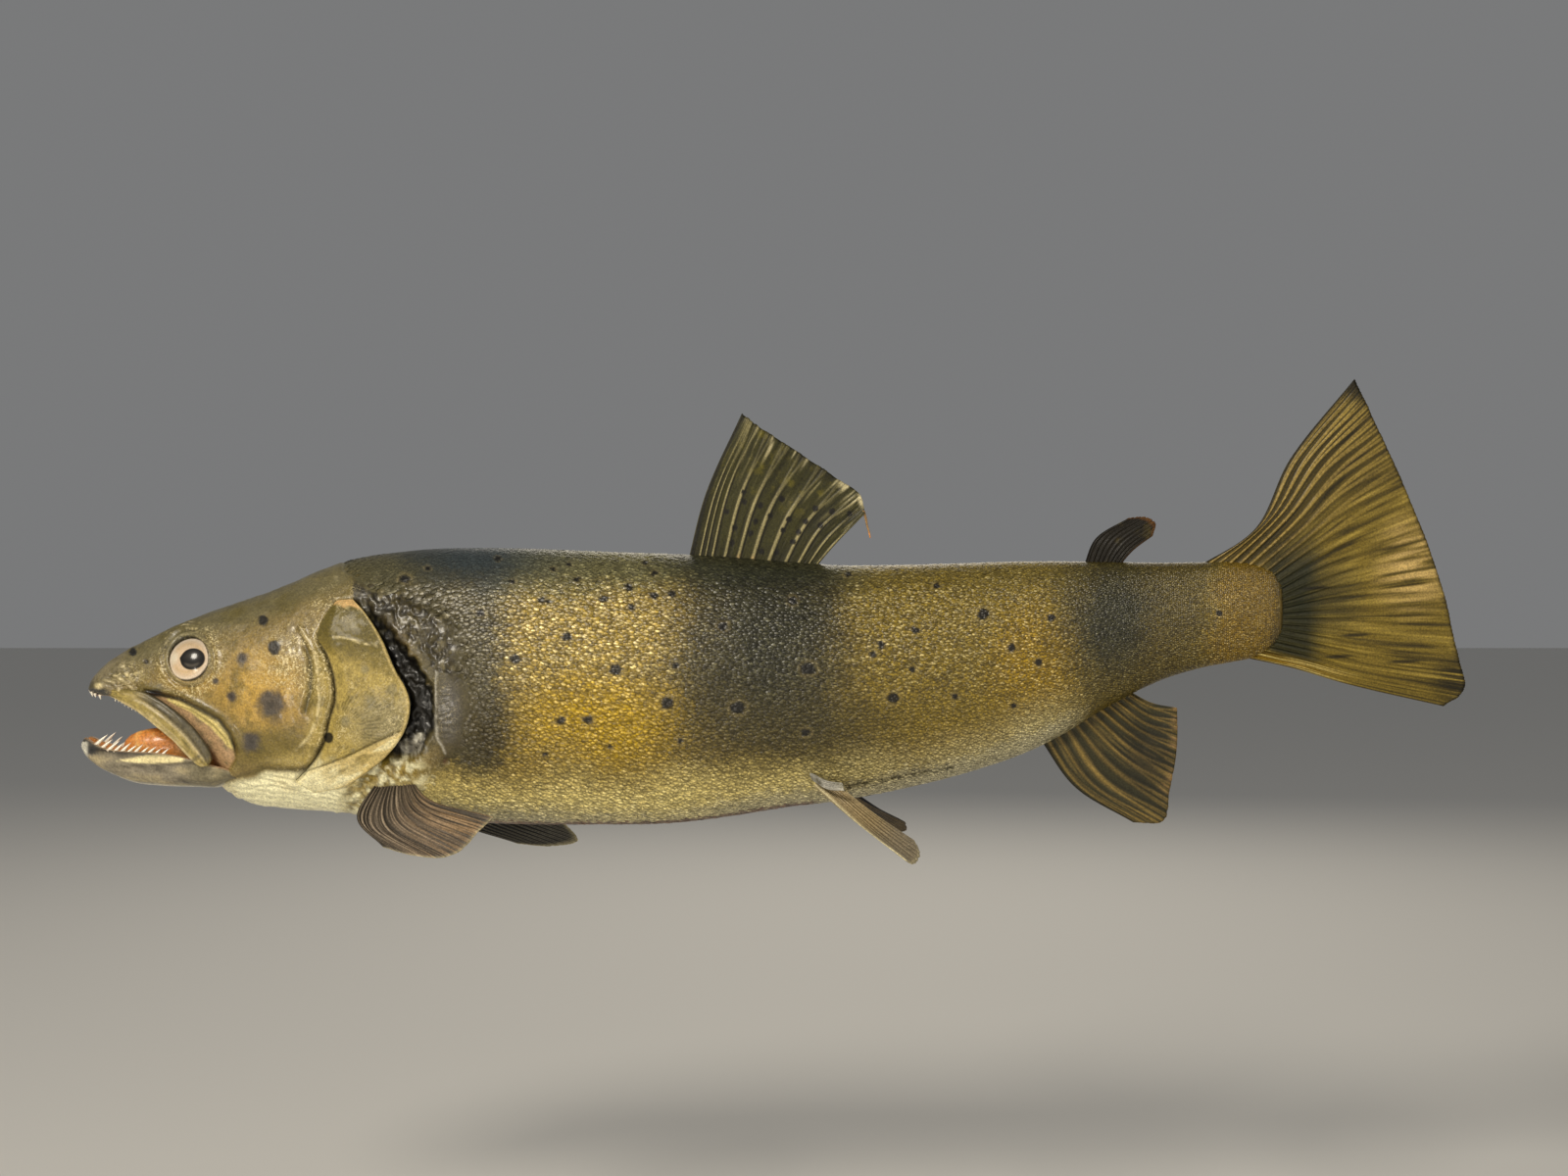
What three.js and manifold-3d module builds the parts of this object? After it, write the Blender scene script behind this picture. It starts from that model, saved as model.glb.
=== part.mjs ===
// A life-size mounted brown trout for a wall, in millimetres. +X runs from the snout to the tail and +Z is up.
// The wall is the plane y = 0 and the fish hangs in front of it, at negative y, so its left side faces out.
// The origin is the middle of the wooden hanging block's wall face.
import * as THREE from "three";
import { mergeVertices } from "three/addons/utils/BufferGeometryUtils.js";
import Module from "manifold-3d";

const wasm = await Module();
wasm.setup();

// ---- Driving dimensions -------------------------------------------------------------------------------------------

const GAP = 0.3; // clearance between neighbouring pieces
const MID_PLANE = -50; // the fish's middle plane stands this far off the wall
const BEND_FROM = 20; // the body is straightest here, and curves away from the wall towards both ends
const BEND_REACH = 300;
const HEAD_SWING = 8; // how far the curve has left the middle plane one reach ahead of BEND_FROM
const TAIL_SWING = 12;
const AROUND = 24; // points round each section of the body
const LONGEST_STEP = 25; // sections further apart than this have another put halfway between them
const SNOUT_GROWTH = 0.5; // a moved-out surface widens its first section by this share of the move
const BACK_POWER = 1.95; // superellipse powers of the section above and below its widest level
const BELLY_POWER = 2.2;

// Body sections: x, height of the back, height of the belly, half width, height of the widest level.
const BODY = [
  [-271.6, -9.4, -12.6, 2.2, -10.8],
  [-270, -6, -14, 5.6, -10],
  [-266, -1.2, -15.4, 9.4, -9.2],
  [-259.5, 4.6, -16.6, 13, -8.6],
  [-248, 11.4, -19.4, 16.6, -8],
  [-236, 17.2, -26.4, 19.6, -9],
  [-224, 22.8, -38, 22.6, -11],
  [-212.5, 27.4, -50, 25.6, -13],
  [-200.5, 31.6, -63.6, 28.6, -15],
  [-187, 36.2, -69.6, 31.6, -16],
  [-171, 42.4, -71.6, 34.4, -16],
  [-155, 49.4, -73.2, 36.2, -15],
  [-138, 55.2, -75, 37.4, -13],
  [-118, 58.4, -77, 38, -11],
  [-96, 60.4, -78.4, 38.6, -9.5],
  [-60, 60.6, -80.2, 39.6, -8.5],
  [-20, 59, -80.6, 40, -8.5],
  [20, 57.6, -80, 39.8, -8.5],
  [50, 56.2, -76.8, 38.6, -8],
  [80, 53.8, -72, 36.4, -7],
  [110, 51.8, -68.2, 33.8, -5.5],
  [140, 52, -62.4, 30.8, -3],
  [170, 52.8, -55, 27.6, 1],
  [200, 53.7, -45, 24, 5.5],
  [220, 53.8, -35.4, 21.4, 9.5],
  [245, 53.6, -20, 18.4, 16.5],
  [270, 53.2, -7.4, 15.6, 22.5],
  [290, 53.4, -1, 13.4, 26],
  [305, 53.8, 2, 11.4, 28],
  [317, 52.6, 4.6, 8.8, 29],
  [326, 49, 9.6, 6, 29.5],
  [331, 43.6, 16, 3.4, 30],
];

// Lower jaw sections: x, height of the lip, height of the chin line, half width. The jaw is hollowed from above.
const JAW = [
  [-275.2, -38.2, -41.6, 2.2],
  [-272.6, -35.8, -45.4, 5.2],
  [-267, -38.4, -49.8, 8.6],
  [-259, -41.2, -54, 12],
  [-247, -42, -58.4, 15.6],
  [-233, -42.6, -60, 19],
  [-217, -45, -60.4, 22.6],
  [-202, -49, -60.8, 25.8],
  [-191, -53, -62, 27],
];
const JAW_AROUND = 14; // points round each section of the jaw
const JAW_WALL = 3.4; // thickness of the jaw's sides
const JAW_FLOOR = 7; // height of the mouth's floor above the chin line
const JAW_HOLLOW_FROM = -271; // the jaw's tip ahead of this is solid
const JAW_HOLLOW_HEIGHT = 12; // the hollow is cut from this far above the lip
const JAW_LEAST = 1; // the hollow's least half width, and its least depth below the lip
const JAW_LEVEL = 0.3; // the section is widest this share of the way from the lip down to the chin line
const LIP_POWERS = { across: 0.35, up: 0.5 }; // powers of cosine and sine above that level: low ones give flat sides
const CHIN_POWERS = { across: 0.75, up: 0.9 }; // and below it: near 1 the section is round

// Upper jaw bone: middle line x, z with its half height. It lies along the side of the head, and its rear end is
// outside the lower jaw.
const MAXILLA = [
  [-257, -12.6, 2],
  [-249, -14.2, 3.8],
  [-240, -17, 5.2],
  [-228.4, -24.4, 6],
  [-218.8, -32, 5.9],
  [-211.8, -39.6, 5.5],
  [-207.6, -44.8, 4.4],
  [-205.2, -48, 2.2],
];
const MAXILLA_AROUND = 10;
const MAXILLA_HALF_THICKNESS = 2;
const MAXILLA_STANDS_OFF = 0.8; // outside the head's own surface
const MAXILLA_OFF_JAW = 0.6; // further still from the middle plane than the lower jaw's side
const MAXILLA_LEAST_OUT = 6; // least distance of the bone from the middle plane

// Gill cover outline x, z, walked round from its top front corner.
const GILL_COVER = [
  [-151.5, 16],
  [-146.5, 27],
  [-140, 34.6],
  [-131, 33.4],
  [-126.4, 27],
  [-118, 14.8],
  [-111, 0],
  [-105.4, -10],
  [-103.6, -17],
  [-104.8, -26],
  [-109, -34.5],
  [-116, -43],
  [-126, -51],
  [-138, -58.6],
  [-154, -62],
  [-163, -56],
  [-153, -46],
  [-146.4, -35],
  [-144, -25],
  [-141, -15],
  [-141.8, -4],
  [-146, 8],
];
const COVER_LIFT = 1.6; // the cover's face outside the body's section
const COVER_DEPTH = 3.2; // its inner face inside that section
const GILL_SLOT_DEPTH = 9;
const PRISM_DEPTH = 160; // more than the fish's width

// The crescent behind the gill cover, where the opening shows.
const GILL_SLOT = [
  [-134, 34],
  [-127, 33],
  [-113, 18],
  [-99, 2],
  [-92, -12],
  [-92, -28],
  [-99, -42],
  [-114, -54],
  [-136, -63],
  [-126, -50],
  [-112, -32],
  [-108, -14],
  [-120, 12],
];

// A glass eye is part of a ball: its seen disc has the visible radius, and the ball is cut flat behind that disc.
const EYE = { x: -216, z: 4.7, radius: 13, visible: 11, bulge: 3, behindDisc: 3, sides: 16, rings: 12 };
const TONGUE = { x: -234.5, z: -41, halfLength: 20, halfWidth: 8.5, halfHeight: 11, sides: 12, rings: 8 };

// Planes that part the body, each as a point x, z that it crosses and its lean from the vertical in degrees.
const HEAD_END = { x: -122, z: 0, lean: -14 };
const TRUNK_ENDS = [24, 128, 232]; // before the dorsal fin, behind the pelvic fins and over the anal fin
const THROAT_TOP = { x: -170, z: -56, slope: -6 };

const BLOCK = { halfLength: 58, halfHeight: 24, depth: 24, corner: 6, cornerSteps: 4 };
const STRIP = { length: 60, height: 8, thickness: 1, teeth: 9, z: 14, below: 0.2, plainEnd: 9, toothHeight: 2.2 };
const RECESS = { length: 44, height: 13, depth: 5 }; // behind the strip's teeth, room for a nail's head

// Fins, each as rays from front to back. A ray is a line of points from root to tip: x, y off the middle plane, z.
const FINS = {
  dorsal_fin: {
    color: 0x5c5230,
    root: 3.2,
    edge: 1,
    grid: [13, 7],
    rays: [
      [[30.6, 0, 52], [40, 0, 88], [58.8, 1.5, 130]],
      [[43, 0, 52], [52, 0.5, 90], [66.5, 2, 123.5]],
      [[57.5, 0, 51], [68, 0.5, 84], [84, 2.5, 112]],
      [[72.5, 0, 50], [84, 0.5, 76], [102, 2.5, 100]],
      [[86, 0, 49.5], [99, 0.5, 70], [119.5, 2, 87]],
      [[95, 0, 49], [106, 0, 62], [121.5, 1, 78]],
    ],
  },
  adipose_fin: {
    color: 0x4a3a22,
    root: 4,
    edge: 2,
    grid: [6, 5],
    rays: [
      [[232, 0, 51], [238, 0, 65], [255, 1, 75.8]],
      [[239, 0, 51], [245.5, 0, 64], [264, 1, 76]],
      [[245, 0, 51], [252, 0, 61], [268.4, 1, 73]],
      [[250, 0, 51], [257, 0, 59], [267, 1, 66.5]],
    ],
  },
  caudal_fin: {
    color: 0x6f5a2a,
    root: 7,
    edge: 1.1,
    grid: [13, 7],
    rays: [
      [[288, 0, 50], [318, 1, 70], [335.5, 2, 105], [368, 3, 146]],
      [[300, 0, 46], [332, 1, 77], [351, 2, 104], [376, 3.5, 128]],
      [[311, 0, 42], [342, 1, 69], [361, 2, 87], [387, 4, 104]],
      [[320, 0, 37], [348, 1, 55], [370, 2, 66], [398, 4, 77.5]],
      [[324, 0, 31], [352, 1, 40], [377, 2, 46], [407.5, 4, 52]],
      [[325, 0, 25], [353, 1, 26], [380, 2, 26.6], [414.4, 4, 27]],
      [[322, 0, 19], [350, 1, 13], [379, 2, 8], [419, 3.5, 4]],
      [[313, 0, 12], [344, 1, 4.5], [373, 2, -3], [421.8, 3, -11]],
      [[302, 0, 7], [335, 1, 0], [364, 2, -8.5], [411, 2, -19.4]],
    ],
  },
  anal_fin: {
    color: 0x54491f,
    root: 4,
    edge: 1,
    grid: [12, 6],
    rays: [
      [[209.6, 0, -36], [227.6, 0, -61], [257, -1, -78.8]],
      [[221, 0, -31], [239, 0, -57], [272, -1.5, -78]],
      [[231, 0, -26], [251, 0, -46], [275, -2, -62.5]],
      [[239.5, 0, -20], [259, 0, -36], [278, -2, -46]],
      [[247, 0, -15], [263, 0, -27], [279, -1.5, -32.5]],
      [[253, 0, -11], [266, 0, -18], [278.8, -1, -20.6]],
    ],
  },
  pectoral_fin_left: {
    color: 0x4c4638,
    root: 4,
    edge: 1,
    grid: [10, 7],
    rays: [
      [[-121, -22, -54], [-129, -42, -72.5], [-114, -53, -85.5]],
      [[-118, -22, -54], [-123, -43, -75], [-100, -56, -89]],
      [[-115, -22, -54], [-114, -43, -75], [-84.5, -57, -90]],
      [[-112, -22, -54], [-106, -42, -71], [-75, -56, -86]],
      [[-109, -22, -54], [-99, -40, -67], [-67.5, -53, -77.5]],
      [[-107, -22, -54], [-94, -38, -64], [-61.5, -48, -71.6]],
    ],
  },
  pectoral_fin_right: {
    color: 0x3e3a2e,
    root: 4,
    edge: 1,
    grid: [7, 6],
    rays: [
      [[-121, 22, -54], [-96, 31, -81], [-60, 36, -95]],
      [[-117, 22, -54], [-88, 32, -77], [-42, 38, -96.5]],
      [[-113, 22, -54], [-82, 33, -73], [-28.6, 39, -93.5]],
      [[-108, 22, -54], [-76, 34, -68], [-36, 38, -84]],
    ],
  },
  pelvic_fin_left: {
    color: 0x6a5a34,
    root: 3.4,
    edge: 1,
    grid: [7, 6],
    rays: [
      [[92, -20, -55], [117, -37, -76.5], [139.5, -49, -93]],
      [[95, -17, -56], [120.5, -31, -77], [144, -42, -95]],
      [[99, -14, -56], [124.5, -25, -75.5], [147.4, -32, -91.5]],
      [[102, -11, -57], [126.5, -19, -74], [145, -22, -86]],
    ],
  },
  pelvic_fin_right: {
    color: 0x3a3324,
    root: 3.4,
    edge: 1,
    grid: [6, 5],
    rays: [
      [[94, 20, -54], [119, 33, -74], [138, 42, -88]],
      [[97, 17, -55], [122, 28, -74.5], [143, 36, -88.5]],
      [[100, 14, -56], [125, 23, -74], [144.5, 29, -86]],
      [[103, 11, -57], [126.5, 18, -73], [143, 22, -82]],
    ],
  },
  pelvic_scale_left: {
    color: 0x8d8a78,
    root: 2.4,
    edge: 0.9,
    grid: [4, 4],
    rays: [
      [[93, -26, -52], [101, -29.6, -55.4], [109, -31, -56.4]],
      [[94, -25, -55], [102, -28.6, -60], [110, -29.6, -60.6]],
    ],
  },
  pelvic_scale_right: {
    color: 0x6f6a58,
    root: 2.4,
    edge: 0.9,
    grid: [4, 4],
    rays: [
      [[93, 26, -52], [101, 29.6, -55.4], [109, 31, -56.4]],
      [[94, 25, -55], [102, 28.6, -60], [110, 29.6, -60.6]],
    ],
  },
};

// Rows of teeth along each side, from the front tooth's x to the last one's, the longest in front. A tooth leans
// back and inward by so much for each millimetre of its height, and every other lower tooth is shorter.
const LOWER_TEETH = {
  from: -266,
  to: -230,
  count: 11,
  longest: 6.4,
  shortest: 3.4,
  shorter: 0.7,
  lean: 0.7,
  inward: 0.12,
};
// The upper ones are rooted in the bone's lower edge, where it stands off the head at this level.
const UPPER_TEETH = { from: -255, to: -226, count: 9, longest: 2.4, shortest: 1.8, lean: -0.25, inward: 0.15 };
const UPPER_ROOTS = { level: -14, off: 1.2, above: 1 };
// The front ones stand on an arc of this spread in radians, their roots above the snout's lower edge.
const FRONT_TEETH = { count: 7, length: 4.6, spread: 1.25, lean: 0.1 };
const FRONT_ARC = { x: -262, ahead: 10.5, halfWidth: 9.5, above: 2.6 };
const TOOTH = { sides: 4, radiusShare: 0.2, leastRadius: 0.25, sunk: 1 };

const FIN_TAPER = 0.6; // share of a ray's length over which the fin thins from root to edge

const WELD = 1e-4; // corners nearer than this are one corner
const NUDGE = 1e-3; // share of a fin's breadth or length between the points that give its direction

// Plain colours and surfaces of the pieces.
const FINISHES = {
  head: { color: 0x6d6130, roughness: 0.45 },
  throat: { color: 0xb9ac78, roughness: 0.45 },
  trunk: { color: 0x7d6a2c, roughness: 0.45 },
  tailStalk: { color: 0x7b6429, roughness: 0.45 },
  gillCover: { color: 0x7a6c36, roughness: 0.45 },
  lowerJaw: { color: 0x8a7a5c, roughness: 0.45 },
  upperJaw: { color: 0x6a6038, roughness: 0.45 },
  tongue: { color: 0xc4622c, roughness: 0.3 },
  glassEye: { color: 0xd9bfa0, roughness: 0.1 },
  pine: { color: 0xb08d5c, roughness: 0.7 },
  steel: { color: 0x9a9a94, roughness: 0.35, metalness: 1 },
};
const FIN_ROUGHNESS = 0.5;

// ---- Curves and closed meshes -------------------------------------------------------------------------------------

// A smooth curve through a table's rows: column as a function of x, with the slopes of a Catmull-Rom spline.
function column(table, index) {
  const slope = (i) => {
    const a = Math.max(0, i - 1);
    const b = Math.min(table.length - 1, i + 1);
    return (table[b][index] - table[a][index]) / (table[b][0] - table[a][0]);
  };
  return (x) => {
    const last = table.length - 2;
    let i = 0;
    while (i < last && x > table[i + 1][0]) i++;
    const step = table[i + 1][0] - table[i][0];
    const t = THREE.MathUtils.clamp((x - table[i][0]) / step, 0, 1);
    const u = 1 - t;
    return (
      table[i][index] * (1 + 2 * t) * u * u +
      table[i + 1][index] * t * t * (3 - 2 * t) +
      step * slope(i) * t * u * u -
      step * slope(i + 1) * t * t * u
    );
  };
}

// Where the fish's middle plane runs at x.
function middle(x) {
  const reach = (x - BEND_FROM) / BEND_REACH;
  return MID_PLANE - (x < BEND_FROM ? HEAD_SWING : TAIL_SWING) * reach * reach;
}

const signedPower = (value, power) => Math.sign(value) * Math.abs(value) ** power;

// Indices of the quads between two rows of points that start at a and b, on to the next row's neighbour.
function stitch(faces, a, b, count, closed) {
  const last = closed ? count : count - 1;
  for (let i = 0; i < last; i++) {
    const j = (i + 1) % count;
    faces.push(a + i, a + j, b + j, a + i, b + j, b + i);
  }
}

function geometryFrom(points, faces) {
  const geometry = new THREE.BufferGeometry().setFromPoints(points);
  return geometry.setIndex(faces);
}

// A closed body through rings of equal count, with a fan over each end.
function loft(rings) {
  const count = rings[0].length;
  const points = rings.flat();
  const faces = [];
  for (let i = 0; i + 1 < rings.length; i++) stitch(faces, i * count, (i + 1) * count, count, true);
  for (const [ring, first, turn] of [
    [rings[0], 0, 1],
    [rings.at(-1), (rings.length - 1) * count, -1],
  ]) {
    const centre = ring.reduce((sum, p) => sum.add(p), new THREE.Vector3()).divideScalar(count);
    points.push(centre);
    for (let i = 0; i < count; i++) {
      const j = (i + 1) % count;
      const pair = turn > 0 ? [first + j, first + i] : [first + i, first + j];
      faces.push(points.length - 1, ...pair);
    }
  }
  return geometryFrom(points, faces);
}

// A closed plate between two grids of points, front and back, each as rows of equal count.
function plate(front, back) {
  const rows = front.length;
  const count = front[0].length;
  const size = rows * count;
  const points = [...front.flat(), ...back.flat()];
  const faces = [];
  for (let i = 0; i + 1 < rows; i++) {
    stitch(faces, i * count, (i + 1) * count, count, false);
    stitch(faces, size + (i + 1) * count, size + i * count, count, false);
  }
  const rim = [];
  for (let j = 0; j < count; j++) rim.push(j);
  for (let i = 1; i < rows; i++) rim.push(i * count + count - 1);
  for (let j = count - 2; j >= 0; j--) rim.push((rows - 1) * count + j);
  for (let i = rows - 2; i > 0; i--) rim.push(i * count);
  rim.forEach((a, k) => {
    const b = rim[(k + 1) % rim.length];
    faces.push(a, size + a, size + b, a, size + b, b);
  });
  return geometryFrom(points, faces);
}

// ---- Solids -------------------------------------------------------------------------------------------------------

// A closed geometry as a manifold-3d solid, turned the right way out.
function solid(geometry) {
  const open = geometry.index ? geometry.toNonIndexed() : geometry;
  const bare = new THREE.BufferGeometry().setAttribute("position", open.getAttribute("position"));
  const merged = mergeVertices(bare, WELD);
  const triVerts = new Uint32Array(merged.index.array);
  const vertProperties = merged.attributes.position.array;
  const made = new wasm.Manifold(new wasm.Mesh({ numProp: 3, vertProperties, triVerts }));
  if (made.volume() > 0) return made;
  for (let i = 0; i < triVerts.length; i += 3) {
    [triVerts[i + 1], triVerts[i + 2]] = [triVerts[i + 2], triVerts[i + 1]];
  }
  return new wasm.Manifold(new wasm.Mesh({ numProp: 3, vertProperties, triVerts }));
}

// The largest of a solid's separate bodies, so that a cut leaves no crumbs.
function largest(made) {
  return made.decompose().reduce((best, body) => (body.volume() > best.volume() ? body : best));
}

const ahead = (made, x) => made.trimByPlane([-1, 0, 0], -x);
const behind = (made, x) => made.trimByPlane([1, 0, 0], x);
const leftHalf = (made, y) => made.trimByPlane([0, -1, 0], -y);
const rightHalf = (made, y) => made.trimByPlane([0, 1, 0], y);

// The part of a solid on one side of a plane that stands across the body, leaning by an angle.
function acrossBody(made, { x, z, lean }, side) {
  const angle = THREE.MathUtils.degToRad(lean);
  const normal = [Math.cos(angle) * side, 0, Math.sin(angle) * side];
  return made.trimByPlane(normal, normal[0] * x + normal[2] * z + GAP / 2);
}

// The part of a solid above (side 1) or below (side -1) the plane that sets off the throat.
function atThroat(made, side) {
  const angle = THREE.MathUtils.degToRad(THROAT_TOP.slope);
  const normal = [-Math.sin(angle) * side, 0, Math.cos(angle) * side];
  return made.trimByPlane(normal, normal[0] * THROAT_TOP.x + normal[2] * THROAT_TOP.z + GAP / 2);
}

const [back, belly, halfWidth, waist] = [1, 2, 3, 4].map((index) => column(BODY, index));

// The body's section at x, with its surface moved out by grow.
function bodyRing(x, grow) {
  const ring = [];
  for (let i = 0; i < AROUND; i++) {
    const angle = (2 * Math.PI * i) / AROUND;
    const up = Math.sin(angle) > 0;
    const power = 2 / (up ? BACK_POWER : BELLY_POWER);
    const height = up ? back(x) - waist(x) : waist(x) - belly(x);
    const y = (halfWidth(x) + grow) * signedPower(Math.cos(angle), power);
    const z = waist(x) + (height + grow) * signedPower(Math.sin(angle), power);
    ring.push(new THREE.Vector3(x, middle(x) + y, z));
  }
  return ring;
}

// How far the body's surface stands from the middle plane at x and z.
function bodySide(x, z) {
  const up = z > waist(x);
  const power = up ? BACK_POWER : BELLY_POWER;
  const height = up ? back(x) - waist(x) : waist(x) - belly(x);
  const share = Math.min(1, Math.abs(z - waist(x)) / height);
  return halfWidth(x) * (1 - share ** power) ** (1 / power);
}

// The whole fish without fins, with its surface moved out by grow. Sections stand closest at the snout and tail.
function bodySolid(grow) {
  const steps = BODY.flatMap(([x], i) => {
    if (i === 0) return [x];
    const from = BODY[i - 1][0];
    return x - from > LONGEST_STEP ? [(from + x) / 2, x] : [x];
  });
  const first = steps[0] - grow;
  const rings = steps.map((x, i) => {
    const ring = bodyRing(x, i === 0 ? grow * SNOUT_GROWTH : grow);
    if (i === 0) ring.forEach((p) => (p.x = first));
    if (i === steps.length - 1) ring.forEach((p) => (p.x += grow));
    return ring;
  });
  return solid(loft(rings));
}

// A closed prism through the whole width of the fish, over an outline of x, z corners moved out by grow.
function prism(outline, grow) {
  const points = outline.map(([x, z]) => new THREE.Vector2(x, z));
  const turn = Math.sign(THREE.ShapeUtils.area(points));
  const outward = (a, b) => new THREE.Vector2(b.y - a.y, a.x - b.x).normalize().multiplyScalar(turn);
  const corners = points.map((here, i) => {
    const before = points.at(i - 1);
    const after = points[(i + 1) % points.length];
    const first = outward(before, here);
    const bisector = first.clone().add(outward(here, after)).normalize();
    return here.clone().addScaledVector(bisector, grow / bisector.dot(first));
  });
  const made = new THREE.ExtrudeGeometry(new THREE.Shape(corners), { depth: PRISM_DEPTH, bevelEnabled: false });
  made.rotateX(Math.PI / 2);
  return solid(made.translate(0, MID_PLANE + PRISM_DEPTH / 2, 0));
}

function box(x0, x1, y0, y1, z0, z1) {
  const made = new THREE.BoxGeometry(x1 - x0, y1 - y0, z1 - z0);
  return solid(made.translate((x0 + x1) / 2, (y0 + y1) / 2, (z0 + z1) / 2));
}

// One tooth: a cone that stands on its root along the given direction, with its base a little below the root.
function tooth(root, direction, length) {
  const { sides, radiusShare, leastRadius, sunk } = TOOTH;
  const cone = new THREE.ConeGeometry(length * radiusShare + leastRadius, length + sunk, sides);
  cone.translate(0, (length + sunk) / 2 - sunk, 0);
  const upright = new THREE.Vector3(0, 1, 0);
  const turn = new THREE.Quaternion().setFromUnitVectors(upright, direction.clone().normalize());
  cone.applyQuaternion(turn);
  return solid(cone.translate(root.x, root.y, root.z));
}

// ---- Head pieces --------------------------------------------------------------------------------------------------

const [lip, chin, jawHalf] = [1, 2, 3].map((index) => column(JAW, index));

// The lower jaw's outer section at x: flat across the lip, round below.
function jawRing(x, half, top, bottom) {
  const ring = [];
  for (let i = 0; i < JAW_AROUND; i++) {
    const angle = (2 * Math.PI * i) / JAW_AROUND;
    const up = Math.sin(angle) > 0;
    const powers = up ? LIP_POWERS : CHIN_POWERS;
    const y = half * signedPower(Math.cos(angle), powers.across);
    const level = top - (top - bottom) * JAW_LEVEL;
    const z = level + (up ? top - level : level - bottom) * signedPower(Math.sin(angle), powers.up);
    ring.push(new THREE.Vector3(x, middle(x) + y, z));
  }
  return ring;
}

// The jaw's trough, with every wall grown by the same amount.
function jawShell(grow) {
  const outer = JAW.map(([x]) => jawRing(x, jawHalf(x) + grow, lip(x) + grow, chin(x) - grow));
  const hollow = JAW.filter(([x]) => x > JAW_HOLLOW_FROM).map(([x]) => {
    const floor = Math.min(chin(x) + JAW_FLOOR, lip(x) - JAW_LEAST) + grow;
    const half = Math.max(JAW_LEAST, jawHalf(x) - JAW_WALL) - grow;
    return jawRing(x, half, lip(x) + JAW_HOLLOW_HEIGHT, floor);
  });
  return solid(loft(outer)).subtract(solid(loft(hollow)));
}

// The lower jaw with a row of teeth along each side.
function lowerJaw(bodyGrown) {
  let made = jawShell(0).subtract(bodyGrown);
  const { from, to, count, longest, shortest, shorter, lean, inward } = LOWER_TEETH;
  for (const side of [-1, 1]) {
    for (let i = 0; i < count; i++) {
      const share = i / (count - 1);
      const x = THREE.MathUtils.lerp(from, to, share);
      const length = THREE.MathUtils.lerp(longest, shortest, share) - (i % 2) * shorter;
      const root = new THREE.Vector3(x, middle(x) + side * (jawHalf(x) - JAW_WALL / 2), lip(x));
      made = made.add(tooth(root, new THREE.Vector3(lean, -side * inward, 1), length));
    }
  }
  return largest(made);
}

// The bone along one side of the upper jaw, with its row of small teeth. Side is -1 for the left.
function maxilla(side, bodyGrown, jawGrown) {
  const rings = MAXILLA.map(([x, z, half], i) => {
    const before = MAXILLA[Math.max(0, i - 1)];
    const after = MAXILLA[Math.min(MAXILLA.length - 1, i + 1)];
    const along = new THREE.Vector2(after[0] - before[0], after[1] - before[1]).normalize();
    const ring = [];
    for (let k = 0; k < MAXILLA_AROUND; k++) {
      const angle = (2 * Math.PI * k) / MAXILLA_AROUND;
      const across = half * Math.sin(angle);
      const px = x - along.y * across;
      const pz = z + along.x * across;
      const under = Math.max(bodySide(x, z), jawHalf(x) + MAXILLA_OFF_JAW, MAXILLA_LEAST_OUT);
      const out = under + MAXILLA_STANDS_OFF + MAXILLA_HALF_THICKNESS * Math.cos(angle);
      const y = middle(px) + side * out;
      ring.push(new THREE.Vector3(px, y, pz));
    }
    return ring;
  });
  const bone = upperTeeth(side).reduce((made, one) => made.add(one), solid(loft(rings)));
  return largest(bone.subtract(bodyGrown).subtract(jawGrown));
}

// The row of teeth along one side of the upper jaw.
function upperTeeth(side) {
  const { from, to, count, longest, shortest, lean, inward } = UPPER_TEETH;
  const { level, off, above } = UPPER_ROOTS;
  const lowerEdge = MAXILLA.map(([x, z, half]) => [x, z - half]);
  const edge = column(lowerEdge, 1);
  const made = [];
  for (let i = 0; i < count; i++) {
    const share = i / (count - 1);
    const x = THREE.MathUtils.lerp(from, to, share);
    const root = new THREE.Vector3(x, middle(x) + side * (bodySide(x, level) + off), edge(x) + above);
    const length = THREE.MathUtils.lerp(longest, shortest, share) + above;
    made.push(tooth(root, new THREE.Vector3(lean, -side * inward, -1), length));
  }
  return made;
}

// A row of short teeth round the front of the upper jaw, to join to the head.
function frontTeeth() {
  const { count, length, spread, lean } = FRONT_TEETH;
  const { ahead, halfWidth: half, above } = FRONT_ARC;
  const made = [];
  for (let i = 0; i < count; i++) {
    const angle = spread * ((2 * i) / (count - 1) - 1);
    const x = FRONT_ARC.x - ahead * Math.cos(angle);
    const root = new THREE.Vector3(x, middle(x) + half * Math.sin(angle), belly(x) + above);
    made.push(tooth(root, new THREE.Vector3(lean, 0, -1), length));
  }
  return made;
}

// Where the ball of a glass eye has its centre, so that its front stands out of the head a little.
function eyePlace(side) {
  const out = bodySide(EYE.x, EYE.z) + EYE.bulge;
  return new THREE.Vector3(EYE.x, middle(EYE.x) + side * (out - EYE.radius), EYE.z);
}

// A glass eye, or the room for it: the outer part of a ball, cut flat behind.
function eyeBall(side, grow) {
  const place = eyePlace(side);
  const ball = new THREE.SphereGeometry(EYE.radius + grow, EYE.sides, EYE.rings).rotateX(Math.PI / 2);
  const made = solid(ball.translate(place.x, place.y, place.z));
  const depth = Math.sqrt(EYE.radius ** 2 - EYE.visible ** 2);
  const cut = place.y + side * (depth - EYE.behindDisc - grow);
  return side < 0 ? leftHalf(made, cut) : rightHalf(made, cut);
}

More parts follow.
